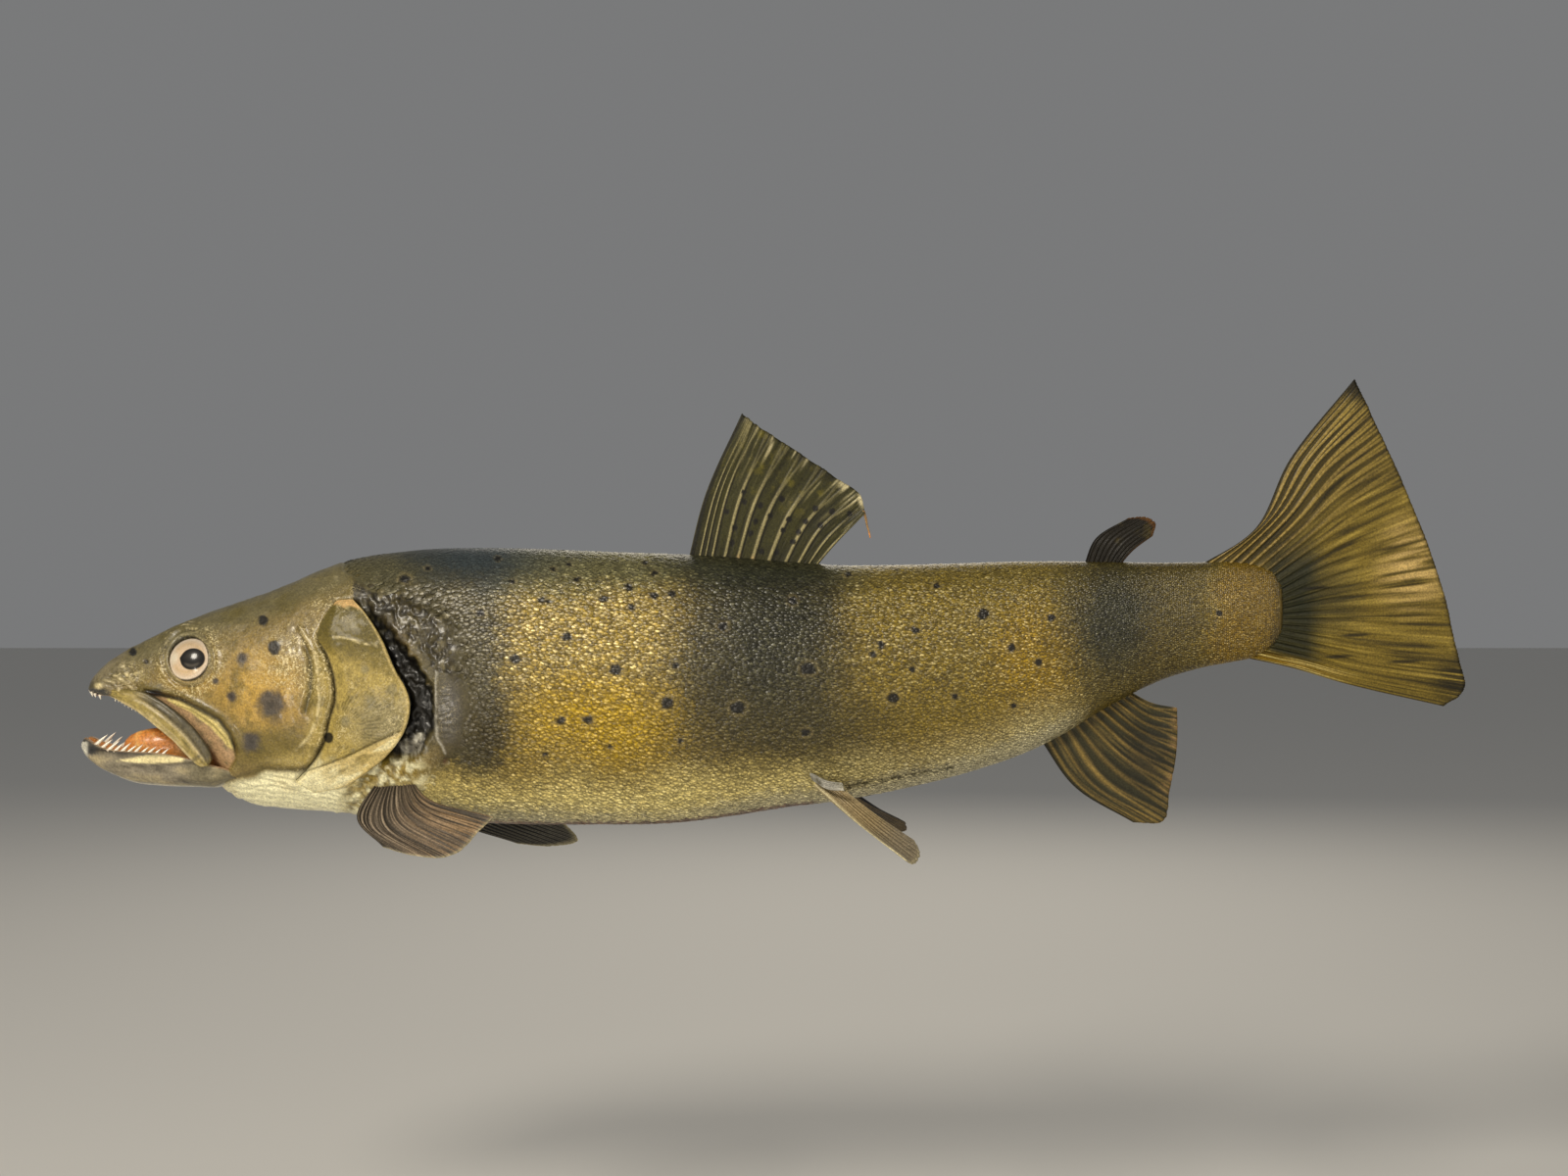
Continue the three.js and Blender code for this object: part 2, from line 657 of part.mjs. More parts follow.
// A waxen tongue that lies in the jaw's trough.
function tongue(jawGrown, bodyGrown) {
  const made = new THREE.SphereGeometry(1, TONGUE.sides, TONGUE.rings);
  made.scale(TONGUE.halfLength, TONGUE.halfWidth, TONGUE.halfHeight);
  made.translate(TONGUE.x, middle(TONGUE.x), TONGUE.z);
  return largest(solid(made).subtract(jawGrown).subtract(bodyGrown));
}

// ---- Fins ---------------------------------------------------------------------------------------------------------

// A fin as a thin curved plate. Between the given rays it follows a spline, and it thins from root to edge.
function fin({ rays, root, edge, grid: [across, along] }) {
  const levels = rays[0].map((_, k) => {
    const line = rays.map((ray) => new THREE.Vector3(...ray[k]));
    return new THREE.CatmullRomCurve3(line, false, "centripetal");
  });
  const at = (s, t) => {
    const share = THREE.MathUtils.clamp(s, 0, 1);
    const ray = new THREE.CatmullRomCurve3(levels.map((level) => level.getPoint(share)));
    const point = ray.getPoint(THREE.MathUtils.clamp(t, 0, 1));
    point.y += middle(point.x);
    return point;
  };
  const front = [];
  const rear = [];
  for (let i = 0; i < across; i++) {
    const s = i / (across - 1);
    front.push([]);
    rear.push([]);
    for (let j = 0; j < along; j++) {
      const t = j / (along - 1);
      const here = at(s, t);
      const alongRay = at(s, t + NUDGE).sub(at(s, t - NUDGE));
      const acrossRays = at(s + NUDGE, t).sub(at(s - NUDGE, t));
      const normal = alongRay.cross(acrossRays).normalize();
      const half = THREE.MathUtils.lerp(root, edge, Math.min(1, t / FIN_TAPER)) / 2;
      front.at(-1).push(here.clone().addScaledVector(normal, half));
      rear.at(-1).push(here.clone().addScaledVector(normal, -half));
    }
  }
  return solid(plate(front, rear));
}

// ---- Hanging block ------------------------------------------------------------------------------------------------

// A wooden block let into the wall side of the body, with a shallow recess for the hanger strip.
function hangingBlock(grow) {
  const x = BLOCK.halfLength + grow;
  const z = BLOCK.halfHeight + grow;
  const r = BLOCK.corner;
  const shape = new THREE.Shape();
  shape.moveTo(-x + r, -z);
  for (const [cx, cz, from] of [
    [x - r, -z + r, -Math.PI / 2],
    [x - r, z - r, 0],
    [-x + r, z - r, Math.PI / 2],
    [-x + r, -z + r, Math.PI],
  ]) {
    shape.absarc(cx, cz, r, from, from + Math.PI / 2, false);
  }
  const made = new THREE.ExtrudeGeometry(shape, {
    depth: BLOCK.depth + grow,
    bevelEnabled: false,
    curveSegments: BLOCK.cornerSteps,
  });
  return solid(made.rotateX(Math.PI / 2));
}

// A steel strip with a toothed lower edge that a nail's head catches in. It lies in a rebate in the block's face.
function hangerStrip() {
  const { length, height, thickness, teeth, z, below, plainEnd } = STRIP;
  const low = z - height / 2;
  const shape = new THREE.Shape();
  shape.moveTo(-length / 2, z + height / 2);
  shape.lineTo(-length / 2, low);
  const pitch = (length - 2 * plainEnd) / teeth;
  for (let i = 0; i < teeth; i++) {
    const x = -length / 2 + plainEnd + i * pitch;
    shape.lineTo(x, low);
    shape.lineTo(x + pitch / 2, low + STRIP.toothHeight);
  }
  shape.lineTo(length / 2 - plainEnd, low);
  shape.lineTo(length / 2, low);
  shape.lineTo(length / 2, z + height / 2);
  const made = new THREE.ExtrudeGeometry(shape, { depth: thickness, bevelEnabled: false });
  return solid(made.rotateX(Math.PI / 2).translate(0, -below, 0));
}

// What is cut from the block for the strip: its rebate, and a deeper recess that a nail's head turns in.
function stripRoom() {
  const bottom = STRIP.below + STRIP.thickness + GAP;
  const halfLength = STRIP.length / 2 + GAP;
  const halfHeight = STRIP.height / 2 + GAP;
  const rebate = box(-halfLength, halfLength, -bottom, 1, STRIP.z - halfHeight, STRIP.z + halfHeight);
  const { length, height, depth } = RECESS;
  return rebate.add(box(-length / 2, length / 2, -depth, 1, STRIP.z - height / 2, STRIP.z + height / 2));
}

// ---- The fish -----------------------------------------------------------------------------------------------------

const trout = new THREE.Group();

// Puts a solid into the fish as a mesh node with that name and finish.
function add(name, made, finish) {
  const mesh = made.getMesh();
  const positions = new Float32Array(mesh.numVert * 3);
  for (let i = 0; i < mesh.numVert; i++) {
    positions.set(mesh.vertProperties.subarray(i * mesh.numProp, i * mesh.numProp + 3), i * 3);
  }
  const geometry = new THREE.BufferGeometry()
    .setAttribute("position", new THREE.BufferAttribute(positions, 3))
    .setIndex(new THREE.BufferAttribute(mesh.triVerts, 1));
  geometry.computeVertexNormals();
  const node = new THREE.Mesh(geometry, new THREE.MeshStandardMaterial(finish));
  node.name = name;
  trout.add(node);
}

// The body with room cut into it for the gill covers, the openings behind them, the hanging block and the eyes.
function fleshOf(wholeBody) {
  const coverRoom = prism(GILL_COVER, GAP).subtract(bodySolid(-COVER_DEPTH - GAP));
  const slotRoom = prism(GILL_SLOT, 0).subtract(bodySolid(-GILL_SLOT_DEPTH));
  const cut = wholeBody.subtract(coverRoom).subtract(slotRoom).subtract(hangingBlock(GAP));
  return cut.subtract(eyeBall(-1, GAP)).subtract(eyeBall(1, GAP));
}

function addHead(flesh) {
  const wholeHead = acrossBody(flesh, HEAD_END, -1);
  const bare = largest(atThroat(wholeHead, 1));
  add("head", largest(frontTeeth().reduce((made, one) => made.add(one), bare)), FINISHES.head);
  add("throat", largest(atThroat(wholeHead, -1)), FINISHES.throat);
}

function addTrunk(flesh) {
  let rest = acrossBody(flesh, HEAD_END, 1);
  ["trunk_front", "trunk_middle", "trunk_rear"].forEach((name, i) => {
    add(name, largest(ahead(rest, TRUNK_ENDS[i] - GAP / 2)), FINISHES.trunk);
    rest = behind(rest, TRUNK_ENDS[i] + GAP / 2);
  });
  add("tail_stalk", largest(rest), FINISHES.tailStalk);
}

function addGillCovers() {
  const shell = bodySolid(COVER_LIFT).subtract(bodySolid(-COVER_DEPTH));
  const covers = prism(GILL_COVER, 0).intersect(shell);
  add("gill_cover_left", largest(leftHalf(covers, MID_PLANE)), FINISHES.gillCover);
  add("gill_cover_right", largest(rightHalf(covers, MID_PLANE)), FINISHES.gillCover);
}

function addMouth(bodyGrown) {
  const jawGrown = jawShell(GAP);
  add("lower_jaw", lowerJaw(bodyGrown), FINISHES.lowerJaw);
  add("upper_jaw_left", maxilla(-1, bodyGrown, jawGrown), FINISHES.upperJaw);
  add("upper_jaw_right", maxilla(1, bodyGrown, jawGrown), FINISHES.upperJaw);
  add("tongue", tongue(jawGrown, bodyGrown), FINISHES.tongue);
}

function addFins(bodyGrown) {
  for (const [name, spec] of Object.entries(FINS)) {
    add(name, largest(fin(spec).subtract(bodyGrown)), { color: spec.color, roughness: FIN_ROUGHNESS });
  }
}

const flesh = fleshOf(bodySolid(0));
const bodyGrown = bodySolid(GAP);
addHead(flesh);
addTrunk(flesh);
addGillCovers();
addMouth(bodyGrown);
add("eye_left", eyeBall(-1, 0), FINISHES.glassEye);
add("eye_right", eyeBall(1, 0), FINISHES.glassEye);
addFins(bodyGrown);
add("hanging_block", hangingBlock(0).subtract(stripRoom()), FINISHES.pine);
add("hanger_strip", hangerStrip(), FINISHES.steel);

export default trout;
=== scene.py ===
"""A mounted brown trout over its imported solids: painted skin, scales, fins, glass eyes, teeth and wall hanger.

Shapes are worked out in millimetres in the frame's own axes, +X from snout to tail and +Z up, and turned to metres
as each mesh is made. The wall is the plane y = 0, and the fish's left side faces -Y.
"""

import math
from types import SimpleNamespace

import bpy
import numpy as np
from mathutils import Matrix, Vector


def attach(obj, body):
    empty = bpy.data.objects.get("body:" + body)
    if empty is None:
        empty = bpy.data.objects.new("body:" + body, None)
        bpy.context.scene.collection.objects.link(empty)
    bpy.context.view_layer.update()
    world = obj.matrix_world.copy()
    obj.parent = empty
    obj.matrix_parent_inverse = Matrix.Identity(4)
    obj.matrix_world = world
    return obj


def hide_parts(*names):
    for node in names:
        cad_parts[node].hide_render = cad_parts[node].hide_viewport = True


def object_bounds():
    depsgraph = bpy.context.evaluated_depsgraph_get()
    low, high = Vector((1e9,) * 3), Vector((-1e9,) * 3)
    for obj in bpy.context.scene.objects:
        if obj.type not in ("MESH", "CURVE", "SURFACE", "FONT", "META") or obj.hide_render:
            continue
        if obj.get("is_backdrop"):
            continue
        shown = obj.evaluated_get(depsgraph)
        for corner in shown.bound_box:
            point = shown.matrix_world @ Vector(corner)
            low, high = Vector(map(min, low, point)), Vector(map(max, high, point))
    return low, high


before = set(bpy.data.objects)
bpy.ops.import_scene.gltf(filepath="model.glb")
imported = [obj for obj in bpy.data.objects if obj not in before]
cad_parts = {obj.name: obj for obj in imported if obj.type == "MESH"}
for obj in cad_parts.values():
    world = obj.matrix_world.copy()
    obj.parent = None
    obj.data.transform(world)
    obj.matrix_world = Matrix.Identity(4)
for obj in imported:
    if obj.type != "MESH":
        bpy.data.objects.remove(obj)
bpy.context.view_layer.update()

# ---- Driving dimensions, in millimetres, as in the part's own source ------------------------------------------------

MM = 0.001
MID_PLANE = -50.0  # the fish's middle plane, off the wall
BEND_FROM = 20.0
BEND_REACH = 300.0
HEAD_SWING = 8.0
TAIL_SWING = 12.0
BACK_POWER = 1.95  # superellipse powers of a section above and below its widest level
BELLY_POWER = 2.2

# Body sections: x, height of the back, height of the belly, half width, height of the widest level.
BODY = np.array([
    (-271.6, -9.4, -12.6, 2.2, -10.8),
    (-270, -6, -14, 5.6, -10),
    (-266, -1.2, -15.4, 9.4, -9.2),
    (-259.5, 4.6, -16.6, 13, -8.6),
    (-248, 11.4, -19.4, 16.6, -8),
    (-236, 17.2, -26.4, 19.6, -9),
    (-224, 22.8, -38, 22.6, -11),
    (-212.5, 27.4, -50, 25.6, -13),
    (-200.5, 31.6, -63.6, 28.6, -15),
    (-187, 36.2, -69.6, 31.6, -16),
    (-171, 42.4, -71.6, 34.4, -16),
    (-155, 49.4, -73.2, 36.2, -15),
    (-138, 55.2, -75, 37.4, -13),
    (-118, 58.4, -77, 38, -11),
    (-96, 60.4, -78.4, 38.6, -9.5),
    (-60, 60.6, -80.2, 39.6, -8.5),
    (-20, 59, -80.6, 40, -8.5),
    (20, 57.6, -80, 39.8, -8.5),
    (50, 56.2, -76.8, 38.6, -8),
    (80, 53.8, -72, 36.4, -7),
    (110, 51.8, -68.2, 33.8, -5.5),
    (140, 52, -62.4, 30.8, -3),
    (170, 52.8, -55, 27.6, 1),
    (200, 53.7, -45, 24, 5.5),
    (220, 53.8, -35.4, 21.4, 9.5),
    (245, 53.6, -20, 18.4, 16.5),
    (270, 53.2, -7.4, 15.6, 22.5),
    (290, 53.4, -1, 13.4, 26),
    (305, 53.8, 2, 11.4, 28),
    (317, 52.6, 4.6, 8.8, 29),
    (326, 49, 9.6, 6, 29.5),
    (331, 43.6, 16, 3.4, 30),
])

# Lower jaw sections: x, height of the lip, height of the chin line, half width.
JAW = np.array([
    (-275.2, -38.2, -41.6, 2.2),
    (-272.6, -35.8, -45.4, 5.2),
    (-267, -38.4, -49.8, 8.6),
    (-259, -41.2, -54, 12),
    (-247, -42, -58.4, 15.6),
    (-233, -42.6, -60, 19),
    (-217, -45, -60.4, 22.6),
    (-202, -49, -60.8, 25.8),
    (-191, -53, -62, 27),
])
JAW_WALL = 3.4
JAW_FLOOR = 7.0

# Upper jaw bone: middle line x, z with its half height.
MAXILLA = np.array([
    (-257, -12.6, 2),
    (-249, -14.2, 3.8),
    (-240, -17, 5.2),
    (-228.4, -24.4, 6),
    (-218.8, -32, 5.9),
    (-211.8, -39.6, 5.5),
    (-207.6, -44.8, 4.4),
    (-205.2, -48, 2.2),
])
MAXILLA_HALF_THICKNESS = 1.8
MAXILLA_STANDS_OFF = 0.8

# Gill cover: its front and rear edges from top to bottom, as x, z.
COVER_FRONT = np.array([
    (-142, 34), (-147, 27), (-151, 16), (-146, 8), (-141.8, -4), (-141, -15),
    (-144, -25), (-146.4, -35), (-153, -46), (-163, -56),
])
COVER_REAR = np.array([
    (-134, 34.4), (-126.4, 27), (-118, 14.8), (-111, 0), (-105.4, -10), (-103.6, -17), (-104.8, -26),
    (-109, -34.5), (-116, -43), (-126, -51), (-138, -58.6), (-154, -62),
])
COVER_LIFT = 1.6
COVER_DEPTH = 3.2

# The opening behind the gill cover, as x, z.
GILL_SLOT = np.array([
    (-134, 34), (-127, 33), (-113, 18), (-99, 2), (-92, -12), (-92, -28), (-99, -42), (-114, -54),
    (-136, -63), (-126, -50), (-112, -32), (-108, -14), (-120, 12),
])
GILL_SLOT_DEPTH = 8.0

EYE = {"x": -216.0, "z": 4.7, "radius": 10.9, "bulge": 3.0, "curve": 19.0}
TONGUE = {"x": -234.5, "z": -41.0, "half_length": 20.0, "half_width": 8.5, "half_height": 11.0}
BLOCK = {"half_length": 58.0, "half_height": 24.0, "depth": 24.0}
LOWER_TEETH = {"from": -266.0, "to": -230.0, "count": 11, "longest": 6.4, "shortest": 3.4, "lean": 0.7}
UPPER_TEETH = {"from": 0.04, "to": 0.62, "count": 17, "longest": 2.0, "shortest": 1.3}
FRONT_TEETH = {"count": 9, "length": 0.9, "spread": 1.3}
FIN_TAPER = 0.6

# Fins: rays from front to back, each a line from root to tip as x, y off the middle plane, z.
FINS = {
    "dorsal_fin": {
        "root": 3.2, "edge": 1.0, "count": 11, "branch": 0.55, "ridge": 0.1, "spread": 0.14, "grid": (264, 64), "fringe": 0.012, "ripple": 0.7,
        "centres": (0.09, 0.135, 0.19, 0.28, 0.37, 0.465, 0.575, 0.695, 0.79, 0.9, 0.985),
        "rays": [
            [(30.6, 0, 52), (40, 0, 88), (58.8, 1.5, 130)],
            [(43, 0, 52), (52, 0.5, 90), (66.5, 2, 123.5)],
            [(57.5, 0, 51), (68, 0.5, 84), (84, 2.5, 112)],
            [(72.5, 0, 50), (84, 0.5, 76), (102, 2.5, 100)],
            [(86, 0, 49.5), (99, 0.5, 70), (119.5, 2, 87)],
            [(95, 0, 49), (106, 0, 62), (121.5, 1, 78)],
        ],
    },
    "adipose_fin": {
        "root": 4, "edge": 2, "count": 9, "branch": 0.2, "ridge": 0.2, "spread": 0.2, "grid": (60, 30), "fringe": 0.02, "ripple": 0.3,
        "rays": [
            [(232, 0, 51), (238, 0, 65), (255, 1, 75.8)],
            [(239, 0, 51), (245.5, 0, 64), (264, 1, 76)],
            [(245, 0, 51), (252, 0, 61), (268.4, 1, 73)],
            [(250, 0, 51), (257, 0, 59), (267, 1, 66.5)],
        ],
    },
    "caudal_fin": {
        "root": 7, "edge": 1.1, "count": 23, "branch": 0.3, "ridge": 0.17, "spread": 0.24, "grid": (460, 80), "fringe": 0.006, "ripple": 0.5,
        "rays": [
            [(288, 0, 50), (318, 1, 70), (335.5, 2, 105), (368, 3, 146)],
            [(300, 0, 46), (332, 1, 77), (351, 2, 104), (376, 3.5, 128)],
            [(311, 0, 42), (342, 1, 69), (361, 2, 87), (387, 4, 104)],
            [(320, 0, 37), (348, 1, 55), (370, 2, 66), (398, 4, 77.5)],
            [(324, 0, 31), (352, 1, 40), (377, 2, 46), (407.5, 4, 52)],
            [(325, 0, 25), (353, 1, 26), (380, 2, 26.6), (414.4, 4, 27)],
            [(322, 0, 19), (350, 1, 13), (379, 2, 8), (419, 3.5, 4)],
            [(313, 0, 12), (344, 1, 4.5), (373, 2, -3), (421.8, 3, -11)],
            [(302, 0, 7), (335, 1, 0), (364, 2, -8.5), (411, 2, -19.4)],
        ],
    },
    "anal_fin": {
        "root": 4, "edge": 1, "count": 11, "branch": 0.45, "ridge": 0.17, "spread": 0.22, "grid": (220, 56), "fringe": 0.01, "ripple": 0.6,
        "rays": [
            [(209.6, 0, -36), (227.6, 0, -61), (257, -1, -78.8)],
            [(221, 0, -31), (239, 0, -57), (272, -1.5, -78)],
            [(231, 0, -26), (251, 0, -46), (275, -2, -62.5)],
            [(239.5, 0, -20), (259, 0, -36), (278, -2, -46)],
            [(247, 0, -15), (263, 0, -27), (279, -1.5, -32.5)],
            [(253, 0, -11), (266, 0, -18), (278.8, -1, -20.6)],
        ],
    },
    "pectoral_fin_left": {
        "root": 4, "edge": 1, "count": 15, "branch": 0.42, "ridge": 0.2, "spread": 0.24, "grid": (270, 64), "fringe": 0.006, "ripple": 0.7,
        "rays": [
            [(-121, -22, -54), (-129, -42, -72.5), (-114, -53, -85.5)],
            [(-118, -22, -54), (-123, -43, -75), (-100, -56, -89)],
            [(-115, -22, -54), (-114, -43, -75), (-84.5, -57, -90)],
            [(-112, -22, -54), (-106, -42, -71), (-75, -56, -86)],
            [(-109, -22, -54), (-99, -40, -67), (-67.5, -53, -77.5)],
            [(-107, -22, -54), (-94, -38, -64), (-61.5, -48, -71.6)],
        ],
    },
    "pectoral_fin_right": {
        "root": 4, "edge": 1, "count": 12, "branch": 0.4, "ridge": 0.14, "spread": 0.2, "grid": (180, 48), "fringe": 0.01, "ripple": 0.4,
        "rays": [
            [(-121, 22, -54), (-96, 31, -81), (-60, 36, -95)],
            [(-117, 22, -54), (-88, 32, -77), (-42, 38, -96.5)],
            [(-113, 22, -54), (-82, 33, -73), (-28.6, 39, -93.5)],
            [(-108, 22, -54), (-76, 34, -68), (-36, 38, -84)],
        ],
    },
    "pelvic_fin_left": {
        "root": 3.4, "edge": 1, "count": 9, "branch": 0.45, "ridge": 0.17, "spread": 0.22, "grid": (108, 48), "fringe": 0.02, "ripple": 0.4,
        "rays": [
            [(92, -20, -55), (117, -37, -76.5), (139.5, -49, -93)],
            [(95, -17, -56), (120.5, -31, -77), (144, -42, -95)],
            [(99, -14, -56), (124.5, -25, -75.5), (147.4, -32, -91.5)],
            [(102, -11, -57), (126.5, -19, -74), (145, -22, -86)],
        ],
    },
    "pelvic_fin_right": {
        "root": 3.4, "edge": 1, "count": 9, "branch": 0.45, "ridge": 0.17, "spread": 0.22, "grid": (108, 48), "fringe": 0.02, "ripple": 0.4,
        "rays": [
            [(94, 20, -54), (119, 33, -74), (138, 42, -88)],
            [(97, 17, -55), (122, 28, -74.5), (143, 36, -88.5)],
            [(100, 14, -56), (125, 23, -74), (144.5, 29, -86)],
            [(103, 11, -57), (126.5, 18, -73), (143, 22, -82)],
        ],
    },
    "pelvic_scale_left": {
        "root": 2.4, "edge": 0.9, "count": 5, "branch": 0.9, "ridge": 0.3, "spread": 0.1, "grid": (30, 24), "fringe": 0.02, "ripple": 0.3,
        "rays": [
            [(93, -26, -52), (101, -29.6, -55.4), (109, -31, -56.4)],
            [(94, -25, -55), (102, -28.6, -60), (110, -29.6, -60.6)],
        ],
    },
    "pelvic_scale_right": {
        "root": 2.4, "edge": 0.9, "count": 5, "branch": 0.9, "ridge": 0.3, "spread": 0.1, "grid": (30, 24), "fringe": 0.02, "ripple": 0.3,
        "rays": [
            [(93, 26, -52), (101, 29.6, -55.4), (109, 31, -56.4)],
            [(94, 25, -55), (102, 28.6, -60), (110, 29.6, -60.6)],
        ],
    },
}

# ---- Where the markings and folds lie -------------------------------------------------------------------------------
# Each is given as x, z on the middle plane, and carried out to the flank along lines that meet at LAYOUT_EYE, so a
# layout drawn flat fits a body that bulges. Both sides use it; the right side's spots are shifted a little.

LAYOUT_EYE = {"x": 80.0, "z": 40.0, "distance": 1067.0}

EYE_CENTRE = (-223.7, 4.0)
EYE_WIDTH_SHARE = 0.89  # the eye looks a little forward, so it is narrower in the layout than it is high
CHEEK_CREASE = [(-246, -12.6), (-240, -14), (-228.5, -16.5), (-217, -22.5), (-208.3, -27.5), (-203, -34.5),
                (-200.5, -41), (-199.5, -46)]
MOUTH_CORNER = [(-250, -12.4), (-240, -14), (-228.5, -16.5), (-217, -22.5), (-208.3, -27.5), (-203, -34.5),
                (-200.5, -41), (-199, -47), (-204, -55), (-214, -60), (-232, -52), (-252, -26)]
MOUTH_STRIPE = [(-234, -17), (-222, -21.5), (-211, -28.8), (-204.5, -36), (-202, -41.5)]
INNER_HOLLOW = [(-168, 20), (-165, 12), (-162, 4), (-161.2, -5), (-161.8, -13), (-164.3, -22.5)]
INNER_RIDGE = [(-166.4, 19.3), (-162.9, 12.9), (-159.5, 5.7), (-158.3, -1.4), (-157.8, -10), (-157, -17),
               (-158.5, -27), (-162.5, -36), (-169, -43)]
CHEEK_EDGE = [(-153, -30), (-153, -37), (-155.7, -43), (-162, -50), (-168, -53), (-176.4, -53), (-184, -52.5),
              (-194, -55.5), (-205, -58.6)]
THROAT_TOP = [(-214, -61.5), (-205, -59), (-194, -56), (-184, -52.5), (-170, -53.5), (-162, -54), (-156, -56)]
BROW = [(-246, 14), (-231, 20), (-215, 22.5), (-200, 21)]
WRINKLED = [(-137, 38), (-128, 45), (-106, 44), (-88, 27), (-81, 8), (-81, -8), (-96, -4), (-106, 6), (-118, 22)]
SHOULDER_BONE = [(-97.2, -3), (-98, -19), (-97.2, -36.5), (-93, -44.5)]
SNOUT_FOLDS = [[(-267, -6.5), (-262.5, -8.5), (-259, -12.8)], [(-262, -4.5), (-257, -7.5), (-252, -12)]]
NOSTRILS = [(-252.4, 7.6, 1.5), (-245.6, 2.5, 1.0)]
COVER_RIDGE = [(-150, 15), (-143, 14.5), (-136, 12), (-127.5, 10.7)]
COVER_FAN = (-151.0, -34.0)  # where the cover's fine lines come together
COVER_LINE = [(-114.5, -32.5), (-129, -39), (-142.7, -45.8), (-156, -51), (-166, -54)]
REAR_SEAM = [(109.5, -62), (133.5, -57.5), (150, -54.5), (166, -52)]

# Where there are no scales: the head, its opening and the bare shoulder.
BARE = [(-400, 90), (-146, 90), (-146, 49), (-136, 41), (-122, 38), (-106, 33), (-94, 24), (-88, 12), (-87, 0),
        (-84, -10), (-82, -22), (-85, -36), (-93, -46), (-101, -58), (-117.5, -77.5), (-121, -120), (-400, -120)]

# Round spots: x, z, radius.
BODY_SPOTS = [
    (-43.5, 34, 2.0), (-40, 33, 1.5), (-12, 34.5, 2.2), (-38, 49.5, 1.3), (-29.5, 52, 1.2), (-25.5, 44.5, 1.5),
    (1, 40.5, 2.0), (2.5, 30.5, 2.0), (14, 47.5, 1.6), (9, 53, 1.4), (14, 36, 2.0), (22.5, 37, 2.0),
    (-58.5, 43, 1.5), (-75, 27.5, 2.0), (-31, 15, 2.6), (-57, 3.5, 2.8), (-6, -2, 3.0), (25, 0.5, 2.0),
    (20.5, -18.5, 3.2), (-34, -28, 2.3), (-20, -27.5, 2.3), (-42, -45, 1.6), (-9, -41, 1.6), (27, -38, 1.8),
    (56.5, -21, 3.4), (49, 20.5, 2.2), (84.5, 33.5, 2.2), (92.5, -1, 3.3), (91, -33.5, 2.2), (112.5, 47, 1.6),
    (158, 41, 1.7), (182, 26.5, 3.3), (216.5, 25, 2.0), (147, 18.5, 2.0), (129.5, 11, 2.0), (125.5, 6, 2.0),
    (196, 9.5, 2.2), (210, 2, 2.0), (145.5, -1.5, 1.7), (135.5, -16, 3.0), (167.5, -15.5, 1.8),
    (197.5, -20, 1.8), (302, 27, 1.6), (-113.5, 44.5, 2.4), (-102, 50, 1.4), (-66, 55, 1.3),
]
HEAD_SPOTS = [
    (-181.4, -19.3, 8.0, "soft"), (-192, -38.5, 5.0, "soft"), (-180.2, 9.8, 3.4, "black"),
    (-196.2, 4.2, 3.4, "soft"), (-186, 23.5, 2.6, "black"), (-202, -15.5, 2.6, "soft"), (-210, -7.5, 1.8, "soft"),
    (-252.4, 7.6, 1.9, "black"), (-245.6, 2.5, 1.2, "soft"), (-134, -1.5, 2.4, "faint"), (-139.5, 21, 2.2, "faint"),
    (-152.5, -36.5, 2.4, "black"), (-148.5, 45, 1.6, "faint"), (-131, -18, 3.4, "faint"), (-144, -28, 2.6, "faint"),
    (-120, -12, 3.0, "faint"), (-140, -43, 1.2, "faint"),
]
DORSAL_SPOTS = [
    (50.5, 79, 1.3), (55, 71, 1.2), (59.5, 84, 1.3), (59.5, 89, 1.1), (53.5, 63, 1.2), (63, 68, 1.2),
    (65.5, 74, 1.2), (68, 82, 1.2), (73, 77, 1.2), (68.5, 58.5, 1.2), (76, 58, 1.1), (79, 85.5, 1.3),
    (79.5, 69.5, 1.2), (82.5, 75, 1.3), (84.5, 63.5, 1.2), (87.5, 68.5, 1.2), (91, 74, 1.3), (96, 80.5, 1.3),
    (98.5, 72, 1.3), (104.5, 79, 1.3), (113.5, 78, 1.2),
]

# ---- Paints ---------------------------------------------------------------------------------------------------------

